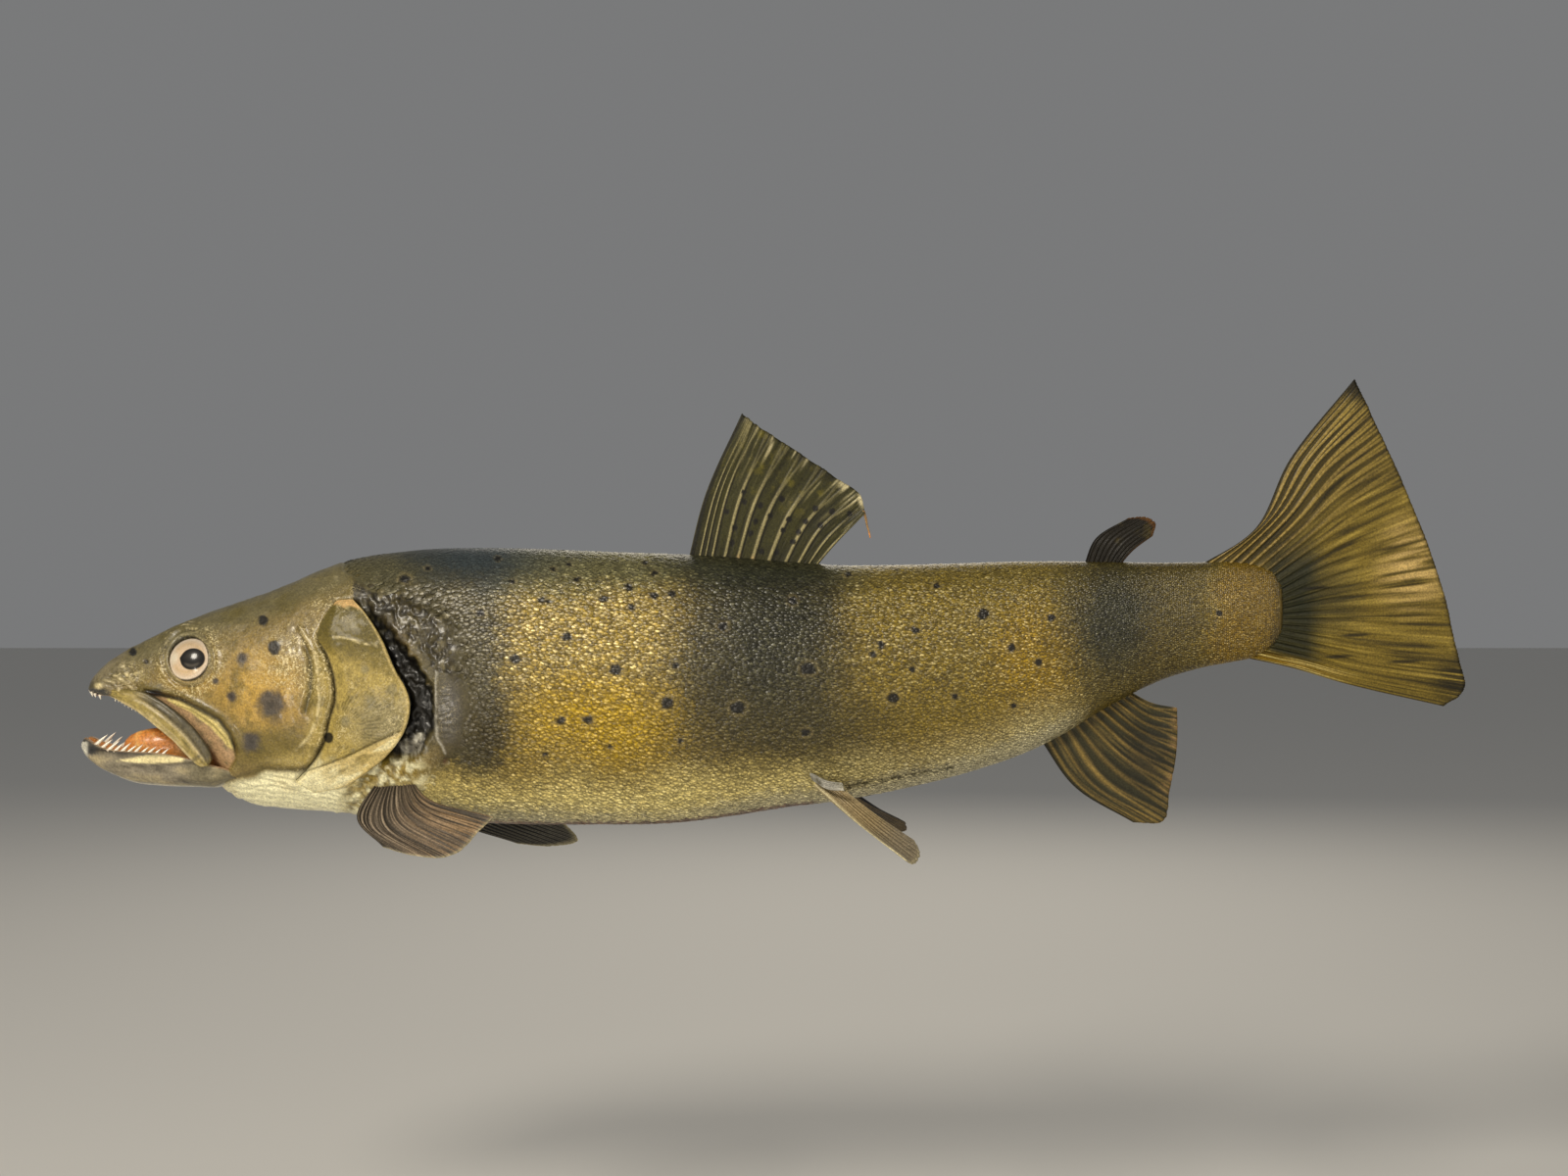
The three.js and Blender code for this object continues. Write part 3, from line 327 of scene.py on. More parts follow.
PAINTS = {
    "gold": "#907a35",
    "light_gold": "#937c30",
    "rear_gold": "#7c6923",
    "yellow": "#ab8b05",
    "orange_gold": "#987911",
    "shoulder_grey": "#443f29",
    "shoulder_brown": "#3b320f",
    "dark_back_blue_sheen": "#344047",
    # dark back tone with a painted blue-grey reflection on it
    "band": "#20251b",
    "back": "#65684c",
    "belly": "#dbc980",
    "belly_low": "#b7af8c",
    "silver": "#a79f7b",
    "stalk": "#574b1e",
    "stalk_gold": "#7c6215",
    "spot": "#14120e",
    "spot_rim": "#a99766",
    "head": "#7a6838",
    "olive": "#5a5022",
    "crown": "#605b3f",
    "cheek": "#bc9743",
    "cheek_low": "#695b20",
    "plate": "#a6924f",
    "plate_low": "#857c5a",
    "plate_edge": "#cdb677",
    "orange_edge": "#d8b074",
    # pale gold: flecks, and in places painted glints on the crests of wrinkles and ridges
    "pale_fleck_and_glint": "#ead9a4",
    "soft_spot": "#403b38",
    "throat": "#fbf5c9",
    "throat_line": "#8f845c",
    "snout": "#857a60",
    "nose": "#24262a",
    # near-black painted shade for creases, grooves, seams and gaps, also used once as dark mottle on the jaw bone
    "crease_shade_and_mottle": "#1b170e",
    "mouth_pink": "#b5946e",
    "mouth_stripe": "#e4d084",
    "palate": "#a06a4c",
    "jaw_grey": "#867d69",
    "jaw_olive": "#726a4c",
    "jaw_white": "#dcd8c6",
    "jaw_stripe": "#f0e0a8",
    "gum": "#231b14",
    "lining": "#cf8a44",
    "lining_pale": "#ecd090",
    # painted glints on the shoulder's wrinkles and in the gill opening
    "shoulder_glint": "#7b714f",
    # near-black painted shade: the gill opening's hollow, the shadow behind the cover and the cover's underside
    "slot": "#0d0c0a",
    "scrap": "#8d887a",
    "bone": "#b5b0a0",
    "bare_shoulder": "#4d4943",
    "maxilla_front": "#9c8a4d",
    "maxilla_rear": "#4e4734",
    "maxilla_line": "#c9b78a",
    "fin_olive": "#343214",
    "yellow_olive": "#6d641b",
    "fin_ray": "#978d63",
    "fin_dark": "#15140d",
    "caudal": "#6c5b1e",
    "caudal_ray": "#927e37",
    "caudal_pale": "#c1a467",
    "anal": "#32301d",
    "anal_ray": "#806a36",
    "pectoral": "#4b4237",
    "pectoral_ray": "#948571",
    "pectoral_tan": "#94744a",
    "right_pectoral": "#101217",
    "pelvic": "#8a7653",
    "pelvic_grey": "#857c6c",
    "pale_edge": "#d9cda2",
    "axillary": "#98958a",
    "adipose": "#17130b",
    "adipose_edge": "#694620",
    "iris": "#d2b999",
    "iris_rim": "#decdb6",
    "pupil": "#1c1a18",
    # painted reflection in the pupil
    "pupil_sheen": "#575148",
    "eye_ring": "#2c2719",
    "tooth": "#f1ead8",
    "tongue": "#d0843a",
    "tongue_pale": "#f0c474",
    "seam": "#5f2f1c",
}


def linear(hex_colour):
    """An sRGB hex colour as three linear values."""
    values = [int(hex_colour[i:i + 2], 16) / 255 for i in (1, 3, 5)]
    return np.array([v / 12.92 if v <= 0.04045 else ((v + 0.055) / 1.055) ** 2.4 for v in values])


COLOUR = {name: linear(value) for name, value in PAINTS.items()}

# ---- Curves and fields ----------------------------------------------------------------------------------------------


def smooth(low, high, value):
    """0 below low, 1 above high and a soft step between."""
    t = np.clip((value - low) / (high - low), 0, 1)
    return t * t * (3 - 2 * t)


def bump(distance, width):
    """1 at distance 0, falling off as a bell of that half width."""
    return np.exp(-(distance / width) ** 2)


def column(table, index):
    """One column of a table as a smooth function of x, with Catmull-Rom slopes."""
    xs = table[:, 0]
    values = table[:, index]
    after = np.minimum(np.arange(len(xs)) + 1, len(xs) - 1)
    before = np.maximum(np.arange(len(xs)) - 1, 0)
    slopes = (values[after] - values[before]) / (xs[after] - xs[before])

    def at(x):
        i = np.clip(np.searchsorted(xs, x, side="left") - 1, 0, len(xs) - 2)
        step = xs[i + 1] - xs[i]
        t = np.clip((x - xs[i]) / step, 0, 1)
        u = 1 - t
        return (values[i] * (1 + 2 * t) * u * u + values[i + 1] * t * t * (3 - 2 * t)
                + step * slopes[i] * t * u * u - step * slopes[i + 1] * t * t * u)

    return at


def spline(points, share):
    """Centripetal Catmull-Rom curves: points (n, count, 3) read at share (n, m) of their length."""
    first = 2 * points[:, :1] - points[:, 1:2]
    last = 2 * points[:, -1:] - points[:, -2:-1]
    line = np.concatenate([first, points, last], axis=1)
    place = np.clip(share, 0, 1) * (points.shape[1] - 1)
    i = np.clip(np.floor(place).astype(int), 0, points.shape[1] - 2)
    w = (place - i)[..., None]
    p0, p1, p2, p3 = (np.take_along_axis(line, (i + k)[..., None], axis=1) for k in range(4))
    gaps = [np.maximum(((b - a) ** 2).sum(-1, keepdims=True) ** 0.25, 1e-4) for a, b in ((p0, p1), (p1, p2), (p2, p3))]
    g0, g1, g2 = gaps
    start = ((p1 - p0) / g0 - (p2 - p0) / (g0 + g1) + (p2 - p1) / g1) * g1
    end = ((p2 - p1) / g1 - (p3 - p1) / (g1 + g2) + (p3 - p2) / g2) * g1
    return p1 + w * start + w * w * (3 * (p2 - p1) - 2 * start - end) + w ** 3 * (2 * (p1 - p2) + start + end)


def value_noise(points, size, seed):
    """Smooth random values from -1 to 1, with features about size across."""
    scaled = points / size + seed * 17.31
    cell = np.floor(scaled).astype(np.int64)
    t = scaled - cell
    t = t * t * (3 - 2 * t)
    total = np.zeros(len(points))
    for corner in range(8):
        offset = np.array([corner & 1, corner >> 1 & 1, corner >> 2 & 1])
        c = (cell + offset).astype(np.uint32)
        h = c[:, 0] * np.uint32(73856093) ^ c[:, 1] * np.uint32(19349663) ^ c[:, 2] * np.uint32(83492791)
        h = (h ^ (h >> np.uint32(13))) * np.uint32(1274126177)
        h = h ^ (h >> np.uint32(16))
        weight = np.prod(np.where(offset, t, 1 - t), axis=1)
        total += weight * ((h & np.uint32(65535)) / 32767.5 - 1)
    return total


def fractal(points, size, seed, octaves=3):
    """Value noise with finer noise on it, each octave half the size and half the strength."""
    total = np.zeros(len(points))
    for k in range(octaves):
        total += value_noise(points, size / 2 ** k, seed + k) / 2 ** k
    return total / 1.5


def line_distance(x, z, line):
    """Distance to an open line of points, and the share of its points' count at the nearest place."""
    best = np.full(x.shape, 1e9)
    where = np.zeros(x.shape)
    for i, ((ax, az), (bx, bz)) in enumerate(zip(line[:-1], line[1:])):
        dx, dz = bx - ax, bz - az
        t = np.clip(((x - ax) * dx + (z - az) * dz) / (dx * dx + dz * dz), 0, 1)
        d = np.hypot(x - ax - t * dx, z - az - t * dz)
        near = d < best
        best = np.where(near, d, best)
        where = np.where(near, (i + t) / (len(line) - 1), where)
    return best, where


def inside_distance(x, z, outline):
    """How far a point is inside a closed outline; negative outside."""
    distance, _ = line_distance(x, z, [*outline, outline[0]])
    inside = np.zeros(x.shape, bool)
    for (ax, az), (bx, bz) in zip(outline, [*outline[1:], outline[0]]):
        crosses = (az > z) != (bz > z)
        inside ^= crosses & (x < (bx - ax) * (z - az) / (bz - az if bz != az else 1e-9) + ax)
    return np.where(inside, distance, -distance)


def oval(x, z, centre, radii, soft=0.5):
    """1 in the middle of an oval and 0 outside it, with a soft edge that takes up a share of it."""
    r = np.hypot((x - centre[0]) / radii[0], (z - centre[1]) / radii[1])
    return 1 - smooth(1 - soft, 1 + soft * 0.4, r)


def between(value, low, high, soft):
    """1 between low and high, with soft ends that reach soft to each side."""
    return smooth(low - soft, low + soft, value) * (1 - smooth(high - soft, high + soft, value))


# ---- The body's form ------------------------------------------------------------------------------------------------

back, belly, half_width, waist = (column(BODY, k) for k in (1, 2, 3, 4))
lip, chin, jaw_half = (column(JAW, k) for k in (1, 2, 3))


def middle(x):
    """Where the fish's middle plane runs at x."""
    reach = (x - BEND_FROM) / BEND_REACH
    return MID_PLANE - np.where(x < BEND_FROM, HEAD_SWING, TAIL_SWING) * reach * reach


def signed_power(value, power):
    return np.sign(value) * np.abs(value) ** power


def section(x, angle):
    """Points of the body's surface at x, round from the wall side (0) over the back."""
    up = np.sin(angle) > 0
    power = 2 / np.where(up, BACK_POWER, BELLY_POWER)
    height = np.where(up, back(x) - waist(x), waist(x) - belly(x))
    y = middle(x) + half_width(x) * signed_power(np.cos(angle), power)
    z = waist(x) + height * signed_power(np.sin(angle), power)
    return np.stack([x + 0 * angle, y, z], axis=-1)


def surface_frame(x, angle):
    """Point, rearward tangent, tangent round the body and outward normal of the body's surface."""
    step_x = 0.25
    step_angle = 0.004
    low = np.maximum(x - step_x, BODY[0, 0])
    high = np.minimum(x + step_x, BODY[-1, 0])
    along = section(high, angle) - section(low, angle)
    around = section(x, angle + step_angle) - section(x, angle - step_angle)
    along /= np.linalg.norm(along, axis=-1, keepdims=True)
    around /= np.linalg.norm(around, axis=-1, keepdims=True)
    normal = np.cross(around, along)
    normal /= np.linalg.norm(normal, axis=-1, keepdims=True)
    return section(x, angle), along, around, normal


def body_side(x, z):
    """How far the body's surface stands from the middle plane at x and z."""
    up = z > waist(x)
    power = np.where(up, BACK_POWER, BELLY_POWER)
    height = np.where(up, back(x) - waist(x), waist(x) - belly(x))
    share = np.minimum(1, np.abs(z - waist(x)) / height)
    return half_width(x) * (1 - share ** power) ** (1 / power)


def layout(points):
    """Where points lie on the flat layout of the markings: x, z, and the side, -1 for the left."""
    away = np.abs(points[:, 1] - MID_PLANE)
    scale = (LAYOUT_EYE["distance"] - away) / LAYOUT_EYE["distance"]
    x = LAYOUT_EYE["x"] + (points[:, 0] - LAYOUT_EYE["x"]) / scale
    z = LAYOUT_EYE["z"] + (points[:, 2] - LAYOUT_EYE["z"]) / scale
    side = np.where(points[:, 1] < middle(points[:, 0]), -1, 1)
    return x, z, side


def scaled_share(x, z):
    """1 where the skin carries scales, in the layout's x and z; its edge is ragged."""
    ragged = 4 * value_noise(np.stack([x, z, 0 * x], -1), 6, 2)
    return smooth(-1.5, 2.5, ragged - inside_distance(x, z, BARE))


# ---- Markings -------------------------------------------------------------------------------------------------------


def lay(base, name, share):
    """A named paint over colours (n, 3), covering them by a share for each point."""
    share = np.clip(share, 0, 1)[:, None]
    return base + (COLOUR[name] - base) * share


def spots(base, x, z, side, marks, warp):
    """Black spots with a pale rim."""
    for k, (sx, sz, radius) in enumerate(marks):
        cx = np.where(side < 0, sx, sx + 9 * math.sin(2.1 * k))
        cz = np.where(side < 0, sz, sz + 6 * math.cos(1.7 * k))
        d = np.hypot(x - cx, (z - cz) * 1.15) + warp * radius * 0.45
        base = lay(base, "spot_rim", 0.2 * bump(d - radius * 1.4, radius * 0.25))
        base = lay(base, "spot", 0.97 * (1 - smooth(radius * 0.9, radius * 1.2, d)))
    return base


def body_paint(points):
    """The body's ground colours: gold flanks with dark cross bands, a grey shoulder and a pale belly."""
    x, z, side = layout(points)
    wide = fractal(points, 30, 3)
    fine = fractal(points, 7, 5)
    xw = x + 9 * wide + 3 * fine
    zw = z + 7 * wide + 2 * fine
    colour = np.tile(COLOUR["gold"], (len(points), 1))
    colour = lay(colour, "rear_gold", smooth(70, 130, xw))
    colour = lay(colour, "light_gold", 0.9 * oval(xw, zw, (-18, 6), (46, 34), 0.7))
    colour = lay(colour, "yellow", 0.95 * oval(xw, zw, (-12, -27), (52, 24), 0.7))
    colour = lay(colour, "orange_gold", 0.7 * oval(xw, zw, (208, 2), (26, 34), 0.8))
    colour = lay(colour, "back", (0.75 - 0.6 * smooth(90, 135, x)) * smooth(30, 50, zw))
    colour = lay(colour, "shoulder_grey", 0.95 * (1 - smooth(-72, -48, xw)) * smooth(-60, -44, zw))
    colour = lay(colour, "shoulder_brown", 0.8 * oval(xw, zw, (-72, -32), (22, 18), 0.8))
    colour = lay(colour, "crown", 0.9 * (1 - smooth(-132, -98, xw)) * smooth(30, 46, zw))
    # the nape's dark back with a painted blue-grey reflection over it
    colour = lay(colour, "dark_back_blue_sheen", 0.8 * oval(xw, zw, (-76, 59), (50, 20), 0.9))
    low = smooth(-62, -30, zw)
    colour = lay(colour, "band", (0.4 * low + 0.32) * between(xw, 20, 110, 16) * smooth(-68, -56, zw))
    colour = lay(colour, "band", 0.78 * oval(xw, zw, (70, 16), (44, 56), 0.85))
    colour = lay(colour, "band", 0.92 * oval(xw, zw, (251, 26), (36, 50), 0.85))
    colour = lay(colour, "band", 0.3 * oval(xw, zw, (118, -34), (34, 16), 0.8))
    colour = lay(colour, "stalk", 0.8 * between(xw, 266, 296, 9))
    colour = lay(colour, "stalk_gold", 0.9 * smooth(292, 306, xw))
    colour = lay(colour, "band", 0.7 * smooth(330, 338, xw + 0.4 * wide))
    above = points[:, 2] - belly(points[:, 0])
    reach = 36 - 12 * smooth(60, 150, x)
    colour = lay(colour, "belly", 0.9 * (1 - smooth(0.3 * reach, reach, above + 6 * wide)) * (1 - smooth(200, 235, x)))
    colour = lay(colour, "light_gold", 0.5 * (1 - smooth(16, 40, above + 5 * wide)) * between(x, 132, 205, 16))
    colour = lay(colour, "silver", 0.4 * (1 - smooth(12, 34, above + 6 * wide)) * between(x, 95, 225, 20))
    colour = lay(colour, "silver", 0.6 * (1 - smooth(4, 15, above + 4 * wide)) * smooth(120, 165, x) * (1 - smooth(215, 240, x)))
    colour = lay(colour, "belly_low", 0.8 * (1 - smooth(4, 15, above + 4 * fine)) * (1 - smooth(215, 240, x)))
    colour = lay(colour, "belly", 0.6 * oval(x, z, (2, -73), (46, 9), 0.8))
    front_part = smooth(-90, -70, x) * (1 - smooth(90, 100, x))
    colour = lay(colour, "silver", 0.7 * front_part * between(above, 3.5, 8, 1.5) * smooth(-0.2, 0.4, fine))
    colour = lay(colour, "seam", 0.85 * front_part * (1 - smooth(1.5, 3, above + 0.8 * fine)))
    distance, _ = line_distance(x, z, REAR_SEAM)
    # painted shade in the rear belly seam's groove
    return lay(colour, "crease_shade_and_mottle", 0.7 * bump(distance, 0.7))


def head_spots(colour, x, z, warp):
    """The head's spots: some black, and some large, soft and grey."""
    looks = {"black": ("spot", 0.95, 0.85, 1.15), "soft": ("soft_spot", 0.92, 0.5, 1.25), "faint": ("plate_low", 0.75, 0.4, 1.3)}
    for sx, sz, radius, kind in HEAD_SPOTS:
        name, strength, inner, outer = looks[kind]
        d = np.hypot(x - sx, (z - sz) * 0.9) + warp * radius * 0.25
        colour = lay(colour, name, strength * (1 - smooth(radius * inner, radius * outer, d)))
        if kind == "soft":
            colour = lay(colour, "spot", 0.5 * (1 - smooth(0, radius * 0.55, d)))
    return colour


def off_spots(x, z):
    """0 on the head's spots and 1 off them."""
    share = np.ones(x.shape)
    for sx, sz, radius, _ in HEAD_SPOTS:
        share = share * smooth(radius * 0.9, radius * 1.4, np.hypot(x - sx, z - sz))
    return share


def wrinkles(x, z, centre, pitch, waver):
    """Fine crests in rings round a centre, broken up by noise: 1 on a crest and 0 between."""
    r = np.hypot(x - centre[0], z - centre[1])
    return smooth(0.35, 1, np.sin(r * 2 * math.pi / pitch + 3 * waver))


def throat_share(x, z, waver):
    """1 on the pale throat below the cheek."""
    xs, zs = zip(*THROAT_TOP)
    return smooth(-0.5, 4, np.interp(x, xs, zs) - z + 1.5 * waver) * smooth(-213, -204, x)


def head_ground(points, x, z, wide, fine):
    """The head's broad colours: olive crown and snout, golden cheek, dark blotches."""
    xw = x + 3 * wide
    zw = z + 3 * wide
    colour = np.tile(COLOUR["head"], (len(points), 1))
    depth = back(points[:, 0]) - points[:, 2]
    colour = lay(colour, "crown", 0.8 * (1 - smooth(8, 22, depth + 3 * wide)))
    colour = lay(colour, "cheek", 0.85 * oval(xw, zw, (-187, -15), (26, 27), 0.8))
    colour = lay(colour, "cheek", 0.35 * oval(xw, zw, (-218, -10), (22, 10), 0.8))
    colour = lay(colour, "cheek_low", 0.8 * oval(xw, zw, (-180, -42), (28, 13), 0.7))
    colour = lay(colour, "plate", 0.8 * oval(xw, zw, (-155, -24), (10, 44), 0.6))
    colour = lay(colour, "snout", 0.6 * (1 - smooth(-266, -246, xw)))
    blotch = fractal(points, 12, 17)
    colour = lay(colour, "olive", 0.6 * smooth(0.05, 0.6, blotch))
    colour = lay(colour, "olive", 0.5 * smooth(0.1, 0.7, fractal(points, 4.5, 19)))
    return colour * (1 + 0.22 * fine)[:, None]


def head_paint(points):
    """The head's colours, with painted shade in its creases and hollows and painted glints on wrinkle crests. The
    fourth value is how thickly it is flecked with pale gold, in part painted glints.
    """
    x, z, side = layout(points)
    wide = fractal(points, 16, 11)
    fine = fractal(points, 3, 13)
    real_x, real_z = points[:, 0], points[:, 2]
    colour = head_ground(points, x, z, wide, fine)
    eye_r = np.hypot((x - EYE_CENTRE[0]) / EYE_WIDTH_SHARE, z - EYE_CENTRE[1])
    # pale gold on the crests of fine wrinkles round the eye, on the cheek and on the snout: painted glints
    glitter = smooth(-0.1, 0.5, fractal(points, 3.5, 27))
    rings = wrinkles(x, z, EYE_CENTRE, 1.7, fine) * bump(eye_r - 16.5, 3.2) * glitter
    arcs = wrinkles(x, z, (-192, -2), 2.1, fine) * oval(x, z, (-172, -3), (12, 13), 0.6) * glitter
    snout_glints = oval(x, z, (-255, -3.5), (9, 5), 0.7) * smooth(0.0, 0.5, fine)
    colour = lay(colour, "pale_fleck_and_glint", 0.75 * np.maximum(rings, np.maximum(arcs, snout_glints)))
    colour = lay(colour, "eye_ring", 0.9 * (1 - smooth(11.3, 12.3, eye_r)))
    colour = lay(colour, "plate_low", 0.7 * bump(eye_r - 13.1, 0.7))
    # painted shade in the groove round the eye's rim
    colour = lay(colour, "crease_shade_and_mottle", 0.55 * bump(eye_r - 14.4, 0.5) * smooth(-0.4, 0.2, fine))
    # dark under the snout's tip, over the open mouth: painted shade
    colour = lay(colour, "nose", 0.95 * oval(x, z, (-270.5, -13.5), (7, 2.6), 0.4))
    colour = lay(colour, "nose", 0.5 * (1 - smooth(-275, -271, x)))
    colour = lay(colour, "pale_fleck_and_glint", 0.7 * oval(x, z, (-269.7, -10), (2.4, 2), 0.6))
    for fold in SNOUT_FOLDS:
        distance, _ = line_distance(x, z, fold)
        colour = lay(colour, "pale_fleck_and_glint", 0.5 * bump(distance, 0.8) * smooth(-0.3, 0.4, fine))
    corner = inside_distance(x, z, MOUTH_CORNER)
    colour = lay(colour, "mouth_pink", 0.9 * smooth(0.3, 1.8, corner))
    colour = lay(colour, "jaw_olive", 0.7 * smooth(1.5, 3.5, corner) * smooth(0.0, 0.6, fractal(points, 3, 29)))
    distance, along = line_distance(x, z, MOUTH_STRIPE)
    stripe_width = 0.8 + 2.1 * np.sin(np.pi * along ** 1.3) ** 0.7
    colour = lay(colour, "mouth_stripe", 0.95 * (1 - smooth(stripe_width - 0.7, stripe_width + 0.5, distance)))
    colour = lay(colour, "cheek_low", 0.6 * bump(distance - 1.0, 0.3) * (distance < stripe_width))
    distance, along = line_distance(x, z, CHEEK_CREASE)
    ending = 1 - smooth(0.85, 1, along)
    # painted shade in the cheek crease, under the fold that overhangs it
    colour = lay(colour, "crease_shade_and_mottle", 0.95 * bump(distance, 0.8 + 0.6 * np.sin(np.pi * along)) * ending)
    colour = lay(colour, "olive", 0.6 * bump(distance - 2.5, 1.6) * (corner < 0) * ending)
    # dark in the deep corner where the jaw bone tucks under the snout: painted shade
    colour = lay(colour, "nose", 0.85 * oval(x, z, (-241, -13.6), (4.2, 2.2), 0.5))
    distance, along = line_distance(x, z, INNER_HOLLOW)
    # dark olive and a darker line down the inner hollow: painted shade in it
    colour = lay(colour, "olive", 0.9 * bump(distance, 1.6) * smooth(0.1, 0.5, along))
    colour = lay(colour, "crease_shade_and_mottle", 0.55 * bump(distance, 0.6))
    distance, _ = line_distance(x, z, INNER_RIDGE)
    colour = lay(colour, "pale_fleck_and_glint", 0.6 * bump(distance, 0.8) * smooth(-0.5, 0.3, fine))
    distance, _ = line_distance(real_x, real_z, COVER_FRONT)
    # painted shade in the gap along the gill cover's front edge
    colour = lay(colour, "crease_shade_and_mottle", 0.95 * bump(distance, 0.8) * (1 - smooth(10, 19, real_z)))
    throat = throat_share(x, z, wide + 0.5 * fine)
    colour = lay(colour, "throat", 0.95 * throat)
    lines = np.sin((z + 0.14 * x + 1.6 * wide + 0.7 * fine) * 2.4)
    colour = lay(colour, "throat_line", 0.38 * throat * smooth(0.3, 1, lines) * smooth(-0.6, 0.3, fine))
    colour = lay(colour, "plate_edge", 0.25 * throat * smooth(0.1, 0.6, wide))
    distance, along = line_distance(x, z, CHEEK_EDGE)
    # painted shade in the crease along the cheek's lower edge
    colour = lay(colour, "crease_shade_and_mottle", 0.85 * bump(distance, 0.7) * (1 - smooth(0.5, 0.75, along)))
    colour = lay(colour, "plate", 0.7 * oval(x, z, (-169, -47.5), (15, 5), 0.8))
    colour = lay(colour, "olive", 0.5 * bump(distance, 0.9) * smooth(0.4, 0.6, along))
    colour = shoulder_paint(colour, points, x, z, fine)
    colour = head_spots(colour, x, z, fine)
    slot = inside_distance(real_x, real_z, GILL_SLOT)
    flecks = 0.35 * smooth(-0.2, 0.5, wide) + 0.9 * oval(x, z, (-172, 2), (18, 20), 0.8) + 0.8 * bump(eye_r - 17, 4)
    flecks = flecks + 0.6 * oval(x, z, (-255, -2), (12, 10), 0.8) + 0.5 * bump(x + 155, 6) * smooth(-50, -30, z)
    flecks = flecks * (1 - smooth(0, 1.5, corner)) * (1 - smooth(-3, 0, slot)) * (1 - 0.8 * throat)
    flecks = flecks * smooth(2, 20, back(real_x) - real_z) * (1 - smooth(-4, 2, inside_distance(x, z, WRINKLED)))
    flecks = flecks * off_spots(x, z)
    palate = 1 - smooth(0.55, 0.8, np.abs(points[:, 1] - middle(real_x)) / half_width(real_x))
    palate = palate * (real_z < waist(real_x) - 2) * (1 - smooth(-206, -200, real_x))
    colour = lay(colour, "palate", 0.9 * palate)
    return colour, np.clip(flecks * (1 - palate), 0, 1)


def shoulder_paint(colour, points, x, z, fine):
    """The opening behind the gill cover in near-black painted shade with painted glints, a painted shadow behind the
    cover's free edge, and the bare, wrinkled shoulder behind that, with painted shade in its creases and painted glints
    on its crests.
    """
    net = fractal(points, 4.5, 31)
    wrinkled = smooth(-3, 3, inside_distance(x, z, WRINKLED) + 3 * fine)
    behind = smooth(-114, -100, x + 3 * fine) * smooth(-46, -36, z) * (1 - smooth(40, 48, z))
    colour = lay(colour, "shoulder_grey", 0.85 * behind)
    colour = lay(colour, "shoulder_brown", 0.95 * wrinkled)
    behind_cover, _ = line_distance(points[:, 0], points[:, 2], COVER_REAR)
    # a band of painted shadow behind the gill cover's free edge
    colour = lay(colour, "slot", 0.85 * (1 - smooth(5, 15, behind_cover + 2 * fine)) * smooth(-5, 5, z) * (x > -140))
    # painted glints on the wrinkles' crests
    colour = lay(colour, "shoulder_glint", 0.7 * wrinkled * smooth(0.15, 0.5, np.abs(net)) * smooth(-0.2, 0.4, fine))
    # painted shade in the wrinkles' creases
    colour = lay(colour, "crease_shade_and_mottle", 0.9 * wrinkled * bump(net, 0.12))
    colour = lay(colour, "crease_shade_and_mottle", 0.7 * wrinkled * bump(fractal(points, 2.8, 33), 0.10))
    colour = lay(colour, "shoulder_brown", 0.9 * oval(x, z, (-86, -48), (16, 14), 0.7))
    colour = lay(colour, "light_gold", 0.3 * oval(x, z, (-92, -54), (12, 8), 0.7) * smooth(0, 0.5, fine))
    slot = inside_distance(points[:, 0], points[:, 2], GILL_SLOT)
    hole = smooth(-0.8, 1.6, slot + 2.2 * fine + 1.5 * net)
    # the opening's hollow in near-black: painted shade
    colour = lay(colour, "slot", 0.97 * hole)
    # painted glints in the opening, high up
    colour = lay(colour, "shoulder_glint", 0.5 * hole * smooth(0.3, 0.75, net + 0.4 * fine) * smooth(-8, 22, z))
    colour = lay(colour, "shoulder_grey", 0.6 * hole * smooth(0.0, 0.5, fine) * smooth(0, 26, z))
    scrap = oval(x, z, (-109, -38), (10, 8), 0.6)
    colour = lay(colour, "scrap", 0.85 * scrap * smooth(-0.2, 0.3, fine))
    colour = lay(colour, "jaw_white", 0.6 * scrap * smooth(0.2, 0.6, fine))
    closed = (1 - smooth(-51, -43, z + 2 * net)) * smooth(-150, -140, x) * (1 - smooth(-112, -98, x))
    colour = lay(colour, "light_gold", 0.8 * closed)
    colour = lay(colour, "throat", 0.8 * closed * smooth(-0.1, 0.4, fine + 0.3 * net))
    colour = lay(colour, "shoulder_brown", 0.6 * closed * bump(net, 0.12))
    bare = oval(x, z, (-90.5, -23), (7.5, 19), 0.6)
    colour = lay(colour, "bare_shoulder", 0.9 * bare)
    colour = lay(colour, "shoulder_grey", 0.5 * bare * smooth(0.2, 0.9, np.sin(4.2 * z + 3 * net)))
    distance, _ = line_distance(x + 0.8 * net, z, SHOULDER_BONE)
    colour = lay(colour, "bone", 0.75 * bump(distance, 0.6))
    return lay(colour, "seam", 0.8 * oval(x, z, (-91.8, -48.5), (2.2, 1.8), 0.4))


def skin_paint(points, spotted=True):
    """Head and body colours, joined where the scales begin, with the flecks' share as a fourth value."""
    x, z, side = layout(points)
    share = scaled_share(x, z)
    colour = np.empty((len(points), 4))
    head = points[:, 0] < -70
    body = body_paint(points)
    if spotted:
        body = spots(body, x, z, side, BODY_SPOTS, fractal(points, 2.5, 5))
    colour[:, :3] = body
    colour[:, 3] = 0
    if head.any():
        head_colour, flecks = head_paint(points[head])
        mix = share[head][:, None]
        colour[head, :3] = head_colour * (1 - mix) + body[head] * mix
        colour[head, 3] = flecks * (1 - share[head])
    return colour


# ---- Folds and hollows of the skin ----------------------------------------------------------------------------------


